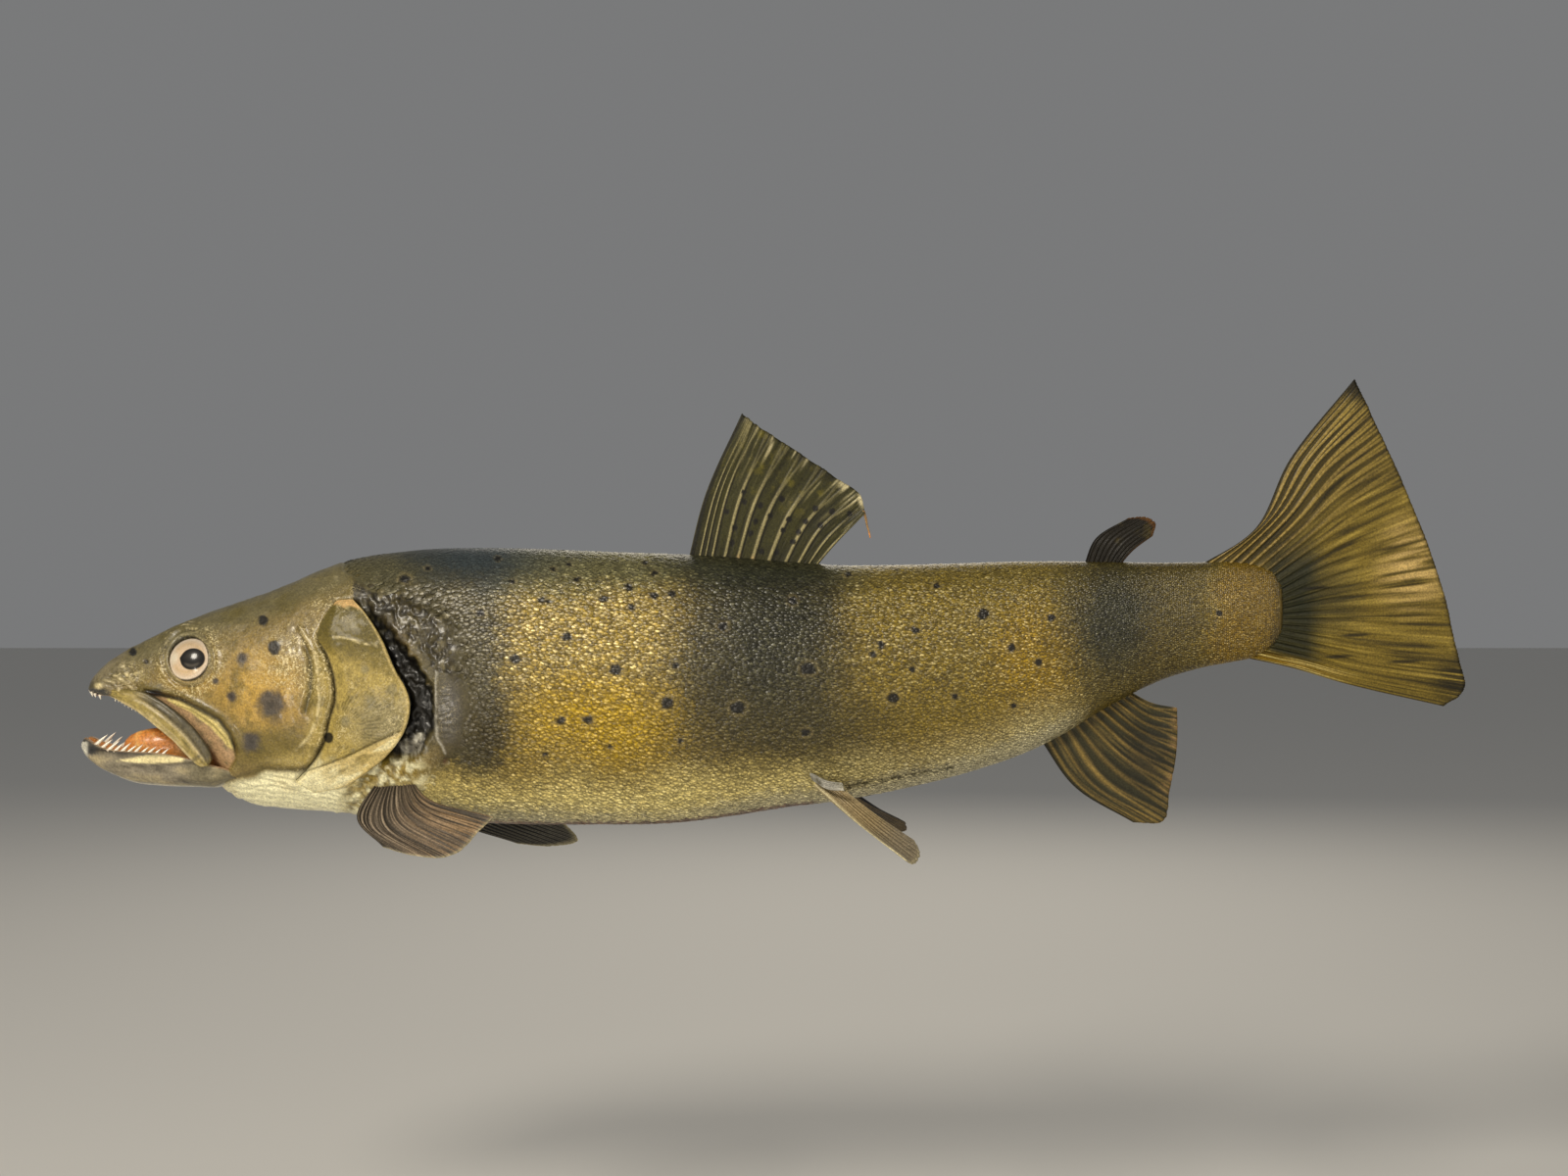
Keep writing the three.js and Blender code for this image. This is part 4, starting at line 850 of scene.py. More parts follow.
def skin_relief(points):
    """How far the skin stands out from the body's plain form, in mm, at points of that form."""
    x, z, side = layout(points)
    real_x, real_z = points[:, 0], points[:, 2]
    off_middle = np.abs(points[:, 1] - middle(real_x))
    flank = smooth(1, 7, off_middle)
    coarse = fractal(points, 9, 21)
    fine = fractal(points, 2.6, 23)
    bare = 1 - scaled_share(x, z)
    rise = bare * (0.4 * coarse + 0.14 * fine)
    eye_r = np.hypot((x - EYE_CENTRE[0]) / EYE_WIDTH_SHARE, z - EYE_CENTRE[1])
    rise += head_folds(points, x, z, flank, eye_r, fine)
    rise += shoulder_folds(points, x, z, flank, coarse, fine)
    throat = throat_share(x, z, 0 * x) * bare
    rise += 0.35 * throat * np.sin((z + 0.14 * x + 1.6 * coarse + 0.7 * fine) * 2.4)
    distance, _ = line_distance(x, z, REAR_SEAM)
    rise -= 0.8 * flank * bump(distance, 0.8)
    rise = np.where(eye_r < 12, rise * smooth(9, 12, eye_r), rise)
    rise -= 7 * flank * (1 - smooth(9.4, 11.0, eye_r))
    rise += flank * (1.1 * bump(eye_r - 12.2, 1.0) - 0.8 * bump(eye_r - 14.4, 0.7) + 0.35 * bump(eye_r - 16.3, 1.2))
    low = np.clip((waist(real_x) - real_z) / (waist(real_x) - belly(real_x)), 0, 1)
    vault = (1 - smooth(0.35, 0.75, off_middle / half_width(real_x))) * smooth(0.5, 0.9, low)
    rise -= 6 * vault * smooth(-268, -258, real_x) * (1 - smooth(-212, -203, real_x))
    return rise


def head_folds(points, x, z, flank, eye_r, fine):
    """The folds, ridges and creases of snout, cheek and mouth corner."""
    rise = np.zeros(len(points))
    distance, _ = line_distance(x, z, BROW)
    rise += 0.7 * bump(distance, 3)
    rise += 0.22 * wrinkles(x, z, EYE_CENTRE, 1.7, fine) * bump(eye_r - 16.5, 3.2)
    rise += 0.25 * wrinkles(x, z, (-192, -2), 2.1, fine) * oval(x, z, (-172, -3), (12, 13), 0.6)
    rise += 0.9 * oval(x, z, (-269.7, -10), (3, 2.4), 0.8)
    rise -= 0.9 * oval(x, z, (-258, -5), (14, 9), 0.8) * bump(fractal(points, 3.2, 61), 0.16)
    for fold in SNOUT_FOLDS:
        distance, _ = line_distance(x, z, fold)
        rise += 0.8 * bump(distance, 0.9) - 0.6 * bump(distance - 2, 0.7)
    for nx, nz, radius in NOSTRILS:
        d = np.hypot(x - nx, z - nz)
        rise += 0.4 * bump(d - radius * 1.5, 0.7) - 1.3 * bump(d, radius * 0.8)
    corner = inside_distance(x, z, MOUTH_CORNER)
    rise -= 2.4 * smooth(0, 1.6, corner)
    distance, along = line_distance(x, z, MOUTH_STRIPE)
    rise += 1.9 * bump(distance, 2.3) * np.sin(np.pi * np.clip(along, 0.04, 0.96))
    distance, along = line_distance(x, z, CHEEK_CREASE)
    ending = 1 - smooth(0.85, 1, along)
    rise -= 1.6 * bump(distance, 0.9) * ending
    rise += 0.8 * bump(distance - 2.6, 1.6) * (corner < 0) * ending
    distance, along = line_distance(x, z, INNER_HOLLOW)
    rise -= 1.7 * bump(distance, 1.5) * smooth(0.0, 0.5, along)
    distance, _ = line_distance(x, z, INNER_RIDGE)
    rise += 1.0 * bump(distance, 1.0)
    distance, along = line_distance(x, z, CHEEK_EDGE)
    rise -= 1.1 * bump(distance, 0.8) * (1 - 0.7 * smooth(0.5, 0.8, along))
    rise += 0.8 * bump(distance - 3, 2) * (1 - throat_share(x, z, 0 * x))
    outline = [*COVER_FRONT, *COVER_REAR[::-1]]
    cover = inside_distance(points[:, 0], points[:, 2], outline)
    front, _ = line_distance(points[:, 0], points[:, 2], COVER_FRONT)
    fade = 1 - smooth(10, 22, points[:, 2])
    rise += 1.1 * fade * bump(front - 1.8, 1.7) * (cover < 0) * (points[:, 0] < -135)
    rise -= (COVER_DEPTH + 0.6) * smooth(-0.4, 1.4, cover)
    return rise * flank


def shoulder_folds(points, x, z, flank, coarse, fine):
    """The opening behind the gill cover, its torn edge, and the shrunken skin of the shoulder."""
    rise = np.zeros(len(points))
    net = fractal(points, 4.5, 31)
    wrinkled = smooth(-3, 3, inside_distance(x, z, WRINKLED))
    rise += wrinkled * (0.5 * net - 1.1 * bump(net, 0.14) + 0.35 * fine)
    slot = inside_distance(points[:, 0], points[:, 2], GILL_SLOT)
    hole = smooth(-1.4, 2.6, slot + 2.2 * fine + 1.5 * net)
    deep = 1 - 0.55 * smooth(2, 26, z) - 0.75 * (1 - smooth(-53, -45, z))
    rise = rise * (1 - hole) - hole * (GILL_SLOT_DEPTH * deep - 1.6 * fine - 1.4 * net)
    rise += oval(x, z, (-109, -38), (9, 8), 0.6) * (2.8 + 2.4 * fine)
    distance, _ = line_distance(x + 0.8 * net, z, SHOULDER_BONE)
    rise += 1.0 * bump(distance, 0.8)
    bare = oval(x, z, (-90.5, -23), (7.5, 19), 0.5)
    rise += bare * (0.8 + 0.25 * np.sin(4.2 * z + 3 * net))
    rise -= 1.2 * oval(x, z, (-91.8, -48.5), (2.4, 2.0), 0.5)
    return rise * flank


# ---- Meshes ---------------------------------------------------------------------------------------------------------


def grid_quads(rows, count, start=0, closed=False):
    """Quads over rows of points; closed joins each row's last point to its first."""
    last = count if closed else count - 1
    i = np.arange(rows - 1)[:, None] * count + start
    j = np.arange(last)[None, :]
    k = (j + 1) % count
    return np.stack([i + j, i + k, i + count + k, i + count + j], axis=-1).reshape(-1, 4)


def flip_if_inside_out(points, faces):
    """Faces turned so that a closed mesh has them pointing out."""
    volume = 0.0
    for corners in faces:
        if len(corners):
            p = points[corners]
            for k in range(1, corners.shape[1] - 1):
                volume += np.einsum("ij,ij->i", p[:, 0], np.cross(p[:, k], p[:, k + 1])).sum()
    return [corners[:, ::-1] if volume < 0 else corners for corners in faces]


def new_piece(name, points, quads, triangles, paint, material, replaced, uv=None, wraps=False):
    """A mesh piece from points in mm. paint is (n, 4) linear colours, and uv (n, 2) the points' places on its map."""
    quads = np.asarray(quads, int).reshape(-1, 4)
    triangles = np.asarray(triangles, int).reshape(-1, 3)
    quads, triangles = flip_if_inside_out(points - points.mean(0), [quads, triangles])
    corners = np.concatenate([quads.ravel(), triangles.ravel()]).astype(np.int32)
    starts = np.concatenate([np.arange(len(quads)) * 4, len(quads) * 4 + np.arange(len(triangles)) * 3])
    mesh = bpy.data.meshes.new(name)
    mesh.vertices.add(len(points))
    mesh.vertices.foreach_set("co", (points * MM).astype(np.float32).ravel())
    mesh.loops.add(len(corners))
    mesh.loops.foreach_set("vertex_index", corners)
    mesh.polygons.add(len(starts))
    mesh.polygons.foreach_set("loop_start", starts.astype(np.int32))
    mesh.polygons.foreach_set("use_smooth", np.ones(len(starts), bool))
    mesh.update(calc_edges=True)
    if paint is not None:
        layer = mesh.color_attributes.new("paint", "FLOAT_COLOR", "POINT")
        layer.data.foreach_set("color", paint.astype(np.float32).ravel())
    if uv is not None:
        corner_uv = uv[corners].copy()
        if wraps:
            spans = [corner_uv[:len(quads) * 4].reshape(-1, 4, 2), corner_uv[len(quads) * 4:].reshape(-1, 3, 2)]
            for span in spans:
                if len(span):
                    crossing = np.ptp(span[..., 1], axis=1) > 0.5
                    span[..., 1] += crossing[:, None] * (span[..., 1] < 0.5)
            corner_uv = np.concatenate([span.reshape(-1, 2) for span in spans]) * 0.995
        mesh.uv_layers.new(name="OFBake").data.foreach_set("uv", corner_uv.astype(np.float32).ravel())
    mesh.materials.append(material)
    piece = bpy.data.objects.new(name, mesh)
    bpy.context.scene.collection.objects.link(piece)
    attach(piece, "root")
    if replaced:
        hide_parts(*replaced)
    return piece


def opaque(colours):
    """Colours (n, 3) with a fourth value of 0: no flecks."""
    return np.concatenate([colours, np.zeros((len(colours), 1))], axis=1)


def plate(front, rear):
    """Points and quads of a closed plate between two grids (rows, count, 3)."""
    rows, count = front.shape[:2]
    size = rows * count
    points = np.concatenate([front.reshape(-1, 3), rear.reshape(-1, 3)])
    over = grid_quads(rows, count)
    under = grid_quads(rows, count, size)[:, ::-1]
    rim = np.concatenate([
        np.arange(count),
        np.arange(1, rows) * count + count - 1,
        (rows - 1) * count + np.arange(count - 2, -1, -1),
        np.arange(rows - 2, 0, -1) * count,
    ])
    after = np.roll(rim, -1)
    edge = np.stack([rim, size + rim, size + after, after], axis=-1)
    return points, np.concatenate([over, under, edge])


def plate_uv(rows, count):
    """Places on the map for a plate's points: one face on each half."""
    u, v = np.meshgrid(np.linspace(0.01, 0.99, rows), np.linspace(0.01, 0.48, count), indexing="ij")
    return np.concatenate([np.stack([u, v], -1).reshape(-1, 2), np.stack([u, v + 0.5], -1).reshape(-1, 2)])


def loft_mesh(rings):
    """Points and faces of a closed body through rings (rows, count, 3), with a fan over each end."""
    rows, count = rings.shape[:2]
    points = np.concatenate([rings.reshape(-1, 3), rings[0].mean(0)[None], rings[-1].mean(0)[None]])
    j = np.arange(count)
    k = (j + 1) % count
    first = np.stack([np.full(count, rows * count), k, j], -1)
    final = np.stack([np.full(count, rows * count + 1), (rows - 1) * count + j, (rows - 1) * count + k], -1)
    return points, grid_quads(rows, count, closed=True), np.concatenate([first, final])


def loft_uv(rows, count):
    """Places on the map for a loft's points, rows along and points round."""
    u, v = np.meshgrid(np.linspace(0.004, 0.996, rows), np.arange(count) / count, indexing="ij")
    return np.concatenate([np.stack([u, v], -1).reshape(-1, 2), [(0.0, 0.5), (1.0, 0.5)]])


def joined(parts):
    """Several (points, quads, triangles, colours) as one."""
    points, quads, triangles, colours = [], [], [], []
    start = 0
    for p, q, t, c in parts:
        points.append(p)
        quads.append(np.asarray(q).reshape(-1, 4) + start)
        triangles.append(np.asarray(t, int).reshape(-1, 3) + start)
        colours.append(c)
        start += len(p)
    return np.concatenate(points), np.concatenate(quads), np.concatenate(triangles), np.concatenate(colours)


# ---- Materials ------------------------------------------------------------------------------------------------------


def node(tree, kind, values=(), links=(), **settings):
    """Adds one shader node with its settings, its inputs' values and its links as {input: (node, output)}."""
    made = tree.nodes.new(kind)
    for name, value in settings.items():
        setattr(made, name, value)
    for name, value in dict(values).items():
        made.inputs[name].default_value = value
    for name, (source, output) in dict(links).items():
        tree.links.new(source.outputs[output], made.inputs[name])
    return made


def new_material(name):
    """An empty node material and its tree."""
    material = bpy.data.materials.new(name)
    material.use_nodes = True
    material.node_tree.nodes.clear()
    return material, material.node_tree


def per_metre(size_mm):
    """A texture's scale for features of that size."""
    return 1 / (size_mm * MM)


def painted(name, roughness, coat, mottle_mm, mottle, bumps, metallic=0.0, flecked=False, coat_roughness=0.16, shine=0.4):
    """Airbrushed lacquer over skin, read from the mesh's paint: soft gloss, with a grain of pigment in it."""
    material, tree = new_material(name)
    place = node(tree, "ShaderNodeTexCoord")
    paint = node(tree, "ShaderNodeAttribute", attribute_name="paint")
    grain = node(tree, "ShaderNodeTexNoise", {"Scale": per_metre(mottle_mm), "Detail": 3, "Roughness": 0.6},
                 {"Vector": (place, "Object")})
    shade = node(tree, "ShaderNodeMapRange", {"From Min": 0.3, "From Max": 0.7, "To Min": 1 - mottle, "To Max": 1 + mottle},
                 {"Value": (grain, "Fac")})
    colour = node(tree, "ShaderNodeVectorMath", {}, {0: (paint, "Color"), 1: (shade, "Result")}, operation="MULTIPLY")
    colour_output = (colour, "Vector")
    # pale gold flecks, as thick as the paint's fourth value, in part painted glints
    if flecked:
        streaks = node(tree, "ShaderNodeTexNoise",
                       {"Scale": per_metre(1.6), "Detail": 4, "Roughness": 0.65, "Distortion": 1.4},
                       {"Vector": (place, "Object")})
        thin = node(tree, "ShaderNodeMapRange", {"From Min": 0.53, "From Max": 0.63}, {"Value": (streaks, "Fac")})
        share = node(tree, "ShaderNodeMath", {}, {0: (thin, "Result"), 1: (paint, "Alpha")}, operation="MULTIPLY")
        pale_fleck_and_glint = node(tree, "ShaderNodeMix", {}, {0: (share, "Value"), 6: colour_output}, data_type="RGBA")
        pale_fleck_and_glint.inputs[7].default_value = (*COLOUR["pale_fleck_and_glint"], 1)
        colour_output = (pale_fleck_and_glint, 2)
    height = None
    for size_mm, depth_mm in bumps:
        texture = node(tree, "ShaderNodeTexNoise", {"Scale": per_metre(size_mm), "Detail": 3}, {"Vector": (place, "Object")})
        links = {"Height": (texture, "Fac")}
        if height:
            links["Normal"] = (height, "Normal")
        height = node(tree, "ShaderNodeBump", {"Strength": 1, "Distance": depth_mm * MM}, links)
    shader = node(tree, "ShaderNodeBsdfPrincipled",
                  {"Roughness": roughness, "Metallic": metallic, "Coat Weight": coat, "Coat Roughness": coat_roughness,
                   "Specular IOR Level": shine},
                  {"Base Color": colour_output, "Normal": (height, "Normal")})
    node(tree, "ShaderNodeOutputMaterial", {}, {"Surface": (shader, "BSDF")})
    return material


def pine():
    """Planed pine, oiled: pale wood with straight brown growth rings, slightly glossy along the grain."""
    material, tree = new_material("planed_pine")
    place = node(tree, "ShaderNodeTexCoord")
    laid = node(tree, "ShaderNodeMapping", {"Scale": (0.12, 1, 1)}, {"Vector": (place, "Object")})
    rings = node(tree, "ShaderNodeTexNoise", {"Scale": per_metre(4), "Detail": 4, "Distortion": 0.5}, {"Vector": (laid, "Vector")})
    share = node(tree, "ShaderNodeMapRange", {"From Min": 0.38, "From Max": 0.62}, {"Value": (rings, "Fac")})
    colour = node(tree, "ShaderNodeMix", {}, {0: (share, "Result")}, data_type="RGBA")
    colour.inputs[6].default_value = (*linear("#c99f66"), 1)
    colour.inputs[7].default_value = (*linear("#a2733e"), 1)
    fibre = node(tree, "ShaderNodeTexNoise", {"Scale": per_metre(0.6), "Detail": 2}, {"Vector": (laid, "Vector")})
    height = node(tree, "ShaderNodeBump", {"Strength": 1, "Distance": 0.08 * MM}, {"Height": (fibre, "Fac")})
    shader = node(tree, "ShaderNodeBsdfPrincipled", {"Roughness": 0.6}, {"Base Color": (colour, 2), "Normal": (height, "Normal")})
    node(tree, "ShaderNodeOutputMaterial", {}, {"Surface": (shader, "BSDF")})
    return material


def zinc_steel():
    """Zinc-plated steel strip, stamped: grey metal with a fine rolled grain."""
    material, tree = new_material("zinc_plated_steel")
    place = node(tree, "ShaderNodeTexCoord")
    laid = node(tree, "ShaderNodeMapping", {"Scale": (0.05, 1, 1)}, {"Vector": (place, "Object")})
    grain = node(tree, "ShaderNodeTexNoise", {"Scale": per_metre(0.5), "Detail": 2}, {"Vector": (laid, "Vector")})
    colour = node(tree, "ShaderNodeMix", {}, {0: (grain, "Fac")}, data_type="RGBA")
    colour.inputs[6].default_value = (*linear("#8f9290"), 1)
    colour.inputs[7].default_value = (*linear("#b9bbb6"), 1)
    rough = node(tree, "ShaderNodeMapRange", {"To Min": 0.3, "To Max": 0.5}, {"Value": (grain, "Fac")})
    shader = node(tree, "ShaderNodeBsdfPrincipled", {"Metallic": 1},
                  {"Base Color": (colour, 2), "Roughness": (rough, "Result")})
    node(tree, "ShaderNodeOutputMaterial", {}, {"Surface": (shader, "BSDF")})
    return material


def floor_paint():
    """Pale matt studio floor."""
    material, tree = new_material("pale_floor")
    shader = node(tree, "ShaderNodeBsdfPrincipled", {"Base Color": (*linear("#d9d7d2"), 1), "Roughness": 0.8})
    node(tree, "ShaderNodeOutputMaterial", {}, {"Surface": (shader, "BSDF")})
    return material


SKIN = painted("lacquered_skin", 0.42, 0.28, 1.0, 0.35, [(3, 0.45), (1.1, 0.25)], flecked=True)
COAT = painted("lacquered_scales", 0.36, 0.16, 0.8, 0.5, [(0.8, 0.12)], metallic=0.2, shine=0.35)
PLATE = painted("lacquered_gill_cover", 0.52, 0.1, 1.0, 0.35, [(3, 0.45), (1.0, 0.25)], flecked=True, shine=0.25)
FIN = painted("lacquered_fin", 0.5, 0.06, 0.8, 0.4, [(1.5, 0.2), (0.5, 0.1)], shine=0.2)
GUM = painted("lacquered_jaw", 0.5, 0.15, 1.2, 0.3, [(3, 0.5), (0.8, 0.2)])
ENAMEL = painted("tooth_enamel", 0.3, 0.5, 1.0, 0.08, [(0.6, 0.05)])
WET = painted("glossy_wax", 0.35, 0.4, 1.3, 0.35, [(1.6, 0.5), (0.6, 0.2)])
GLASS_EYE = painted("painted_glass_eye", 0.5, 0.6, 0.7, 0.12, [(2, 0.01)], coat_roughness=0.14, shine=0.1)

# ---- Skin -----------------------------------------------------------------------------------------------------------

SKIN_ROUND = 320  # points round the head; half as many from where the fine part ends
FINE_END = -84.0
FINE_STEP = 0.82
BODY_STEP = 2.8
COAT_DEPTH = 0.75


def skin_angles(count):
    """Angles round a section, closer together on the flanks than over the back and belly."""
    turn = np.arange(count) * 2 * math.pi / count
    return turn - 0.2 * np.sin(2 * turn)


def skin_grid(xs, count):
    """The skin's points at those stations, with its folds, as (rows, count, 3)."""
    x, angle = np.meshgrid(xs, skin_angles(count), indexing="ij")
    point, _, _, normal = surface_frame(x.ravel(), angle.ravel())
    lx, lz, _ = layout(point)
    rise = skin_relief(point) - COAT_DEPTH * scaled_share(lx, lz)
    return (point + normal * rise[:, None]).reshape(len(xs), count, 3)


def skin():
    """One skin over head, throat, trunk and tail stalk."""
    first = BODY[0, 0]
    nose = np.array([0, 0.15, 0.4, 0.8, 1.3, 1.9]) + first
    fine = np.arange(nose[-1] + 0.7, FINE_END, FINE_STEP)
    stations = np.concatenate([nose, fine])
    tail = np.array([317, 319.5, 322, 324.5, 326.5, 328.5, 330, 331.0])
    coarse = np.concatenate([np.arange(stations[-1] + 1.6, 315, BODY_STEP), tail])
    half = SKIN_ROUND // 2
    head = skin_grid(stations, SKIN_ROUND)
    body = skin_grid(coarse, half)
    points = np.concatenate([head.reshape(-1, 3), body.reshape(-1, 3), head[0].mean(0)[None], body[-1].mean(0)[None]])
    start = head.shape[0] * SKIN_ROUND
    quads = np.concatenate([grid_quads(len(stations), SKIN_ROUND, 0, True), grid_quads(len(coarse), half, start, True)])
    j = np.arange(half)
    k = (j + 1) % half
    row = (len(stations) - 1) * SKIN_ROUND
    f0, f1, f2 = row + 2 * j, row + 2 * j + 1, row + 2 * k
    c0, c1 = start + j, start + k
    n = np.arange(SKIN_ROUND)
    m = (n + 1) % SKIN_ROUND
    tip, end = len(points) - 2, len(points) - 1
    last = start + (len(coarse) - 1) * half
    triangles = np.concatenate([
        np.stack([f0, f1, c0], -1), np.stack([f1, c1, c0], -1), np.stack([f1, f2, c1], -1),
        np.stack([np.full(SKIN_ROUND, tip), m, n], -1), np.stack([np.full(half, end), last + j, last + k], -1),
    ])
    along = np.concatenate([np.linspace(0.003, 0.62, len(stations)), np.linspace(0.623, 0.997, len(coarse))])
    u = np.concatenate([np.repeat(along[:len(stations)], SKIN_ROUND), np.repeat(along[len(stations):], half), [0.001, 0.999]])
    v = np.concatenate([np.tile(n / SKIN_ROUND, len(stations)), np.tile(j / half, len(coarse)), [0.5, 0.5]])
    return new_piece("skin", points, quads, triangles, skin_paint(points), SKIN,
                     ["head", "throat", "trunk_front", "trunk_middle", "trunk_rear", "tail_stalk"],
                     np.stack([u, v], -1), wraps=True)


# ---- Scales ---------------------------------------------------------------------------------------------------------

SCALES_ROUND = 152  # scales in one ring round the body
SCALE_COLUMN = 0.6  # distance between rings, as a share of the distance between scales in a ring
LEAST_COLUMN = 1.05  # the rings come no closer than this, in mm
SCALE_ROWS = 4  # points along and across one scale
STRAY = 0.4  # how far roots stray from an even lattice, as a share of the distance between them
SCALE_SEED = 20
SCALE_PIECES = ("scales_shoulder", "scales_breast", "scales_girth", "scales_middle", "scales_loin", "scales_rear",
                "scales_tail")
COLOUR_JITTER = 2.4  # how far, in mm, each scale's colour is taken from beside it, which stipples the bands' edges


def even_angles(x, count, offset):
    """Angles at which count points stand evenly spaced round the section at x, and their spacing."""
    turn = np.linspace(0, 2 * math.pi, 481)
    ring = section(np.full(len(turn), x), turn)
    length = np.concatenate([[0], np.cumsum(np.linalg.norm(np.diff(ring, axis=0), axis=1))])
    wanted = (np.arange(count) + offset) / count * length[-1]
    return np.interp(wanted, length, turn), length[-1] / count


def scale_roots(chance):
    """Where each scale is rooted: x, angle and the spacing there. Rings are offset by half a scale in turn."""
    rows = []
    x = -146.0
    k = 0
    while x < 329:
        angles, spacing = even_angles(x, SCALES_ROUND, 0.5 * (k % 2))
        stray = chance.random((2, SCALES_ROUND)) - 0.5
        turn_of_one = 2 * math.pi / SCALES_ROUND
        rows.append(np.stack([x + stray[0] * STRAY * spacing, angles + stray[1] * STRAY * turn_of_one,
                              np.full(SCALES_ROUND, spacing)], -1))
        x += max(SCALE_COLUMN * spacing, LEAST_COLUMN)
        k += 1
    return np.concatenate(rows)


def scales():
    """Overlapping scales, each a domed plate that lies back over the next, in a few joined meshes."""
    chance = np.random.default_rng(SCALE_SEED)
    roots = scale_roots(chance)
    x, angle, spacing = roots.T
    point, along, around, normal = surface_frame(x, angle)
    lx, lz, _ = layout(point)
    cover = scaled_share(lx, lz)
    random = chance.random((len(roots), 9))
    in_block = ((np.abs(point[:, 0]) < BLOCK["half_length"] + 2) & (np.abs(point[:, 2]) < BLOCK["half_height"] + 2)
                & (point[:, 1] > MID_PLANE))
    keep = (cover > 0.3 + 0.5 * random[:, 0]) & ~in_block
    x, angle, spacing, random = x[keep], angle[keep], spacing[keep], random[keep]
    point, along, around, normal = point[keep], along[keep], around[keep], normal[keep]
    settled = smooth(0, 16, -inside_distance(lx[keep], lz[keep], BARE))
    nape = oval(lx[keep], lz[keep], (-95, 56), (60, 26), 0.8)
    settled = settled * (1 - 0.75 * nape)
    relief = skin_relief(point)
    size = spacing * (0.92 + 0.16 * random[:, 1])
    rough = (1 - smooth(-104, -66, x)) * oval(lx[keep], lz[keep], (-98, 6), (34, 34), 0.6)
    pitch = (0.12 + 0.25 * rough) * (1 - 0.8 * nape) * (random[:, 2] - 0.5) * 2
    roll = (0.16 + 0.3 * rough) * (1 - 0.8 * nape) * (random[:, 3] - 0.5) * 2
    u = np.linspace(0, 1, SCALE_ROWS)[:, None] + np.zeros((1, SCALE_ROWS))
    v = np.zeros((SCALE_ROWS, 1)) + np.linspace(-1, 1, SCALE_ROWS)[None, :]
    breadth = np.sqrt(np.clip(1 - ((u - 0.45) / 0.62) ** 2, 0.04, 1))
    length = (1.75 * size)[:, None, None]
    width = (0.62 * size)[:, None, None]
    forward = (u - 0.3)[None] * length
    sideways = (v * breadth)[None] * width
    dome = (0.2 * size * (0.4 + 0.6 * settled))[:, None, None] * ((1 - v * v) * np.sin(np.pi * np.clip(u + 0.12, 0, 1)))[None]
    height = (-COAT_DEPTH - 0.2 + 0.55 * u + 0.10 * np.sin(np.pi * u))[None] + dome
    height = height + forward * pitch[:, None, None] + sideways * roll[:, None, None]
    height = np.minimum(height, 0.3) + relief[:, None, None]
    mesh = (point[:, None, None] + along[:, None, None] * forward[..., None] + around[:, None, None] * sideways[..., None]
            + normal[:, None, None] * height[..., None])
    per_scale = SCALE_ROWS * SCALE_ROWS
    flat = mesh.reshape(-1, 3)
    beside = along * ((random[:, 6] - 0.5) * 2 * COLOUR_JITTER)[:, None]
    beside = beside + around * ((random[:, 7] - 0.5) * 2 * COLOUR_JITTER)[:, None]
    colour = np.repeat(skin_paint(point + beside, False)[:, :3], per_scale, axis=0)
    # Each scale gets a painted glint patch by its rear edge, mostly on one side as if lit from the upper left; its
    # darker rest is partly a pigment margin.
    glint_side = np.where(random[:, 8] > 0.35, -0.33, 0.33)[:, None, None]
    glint_patch = np.clip(1 - ((u - 0.72) / 0.36)[None] ** 2 - ((v[None] - glint_side) / 0.62) ** 2, 0, 1)
    # the painted glints are strongest on the upper flank, where the light's reflection falls
    glittering = 0.25 + 0.75 * between(lz[keep], -12, 44, 14)
    chosen = 1 + 0.9 * (random[:, 4] - 0.5) * (0.25 + 0.75 * settled) * (0.5 + 0.5 * glittering)
    light = (0.55 + 0.85 * glint_patch) * chosen[:, None, None]
    light = 1 + (light - 1) * (0.4 + 0.6 * settled)[:, None, None]
    colour = colour * light.reshape(-1, 1)
    # a warm painted highlight over some scales' glint patches
    glint = (glint_patch * (smooth(0.45, 0.95, random[:, 5]) * settled * glittering)[:, None, None]).reshape(-1)
    brightness = colour.mean(1, keepdims=True)
    colour = colour + (1.7 * glint)[:, None] * (brightness + 0.01) * np.array([1.04, 0.98, 0.62])
    fx, fz, side = layout(flat)
    colour = spots(colour, fx, fz, side, BODY_SPOTS, fractal(flat, 2.5, 5))
    one = grid_quads(SCALE_ROWS, SCALE_ROWS)
    along_share = (x - BODY[0, 0]) / (BODY[-1, 0] - BODY[0, 0])
    patch = 0.003
    uv = np.stack([along_share[:, None, None] + patch * (u - 0.5)[None],
                   (angle / (2 * math.pi))[:, None, None] * 0.99 + 0.005 + patch * 0.5 * v[None]], -1)
    uv = uv.reshape(-1, 2)
    groups = np.array_split(np.arange(len(x)), len(SCALE_PIECES))
    for name, group in zip(SCALE_PIECES, groups):
        first, last = group[0] * per_scale, (group[-1] + 1) * per_scale
        starts = (np.arange(len(group)) * per_scale)[:, None, None]
        quads = (one[None] + starts).reshape(-1, 4)
        open_piece(name, flat[first:last], quads, colour[first:last], uv[first:last])


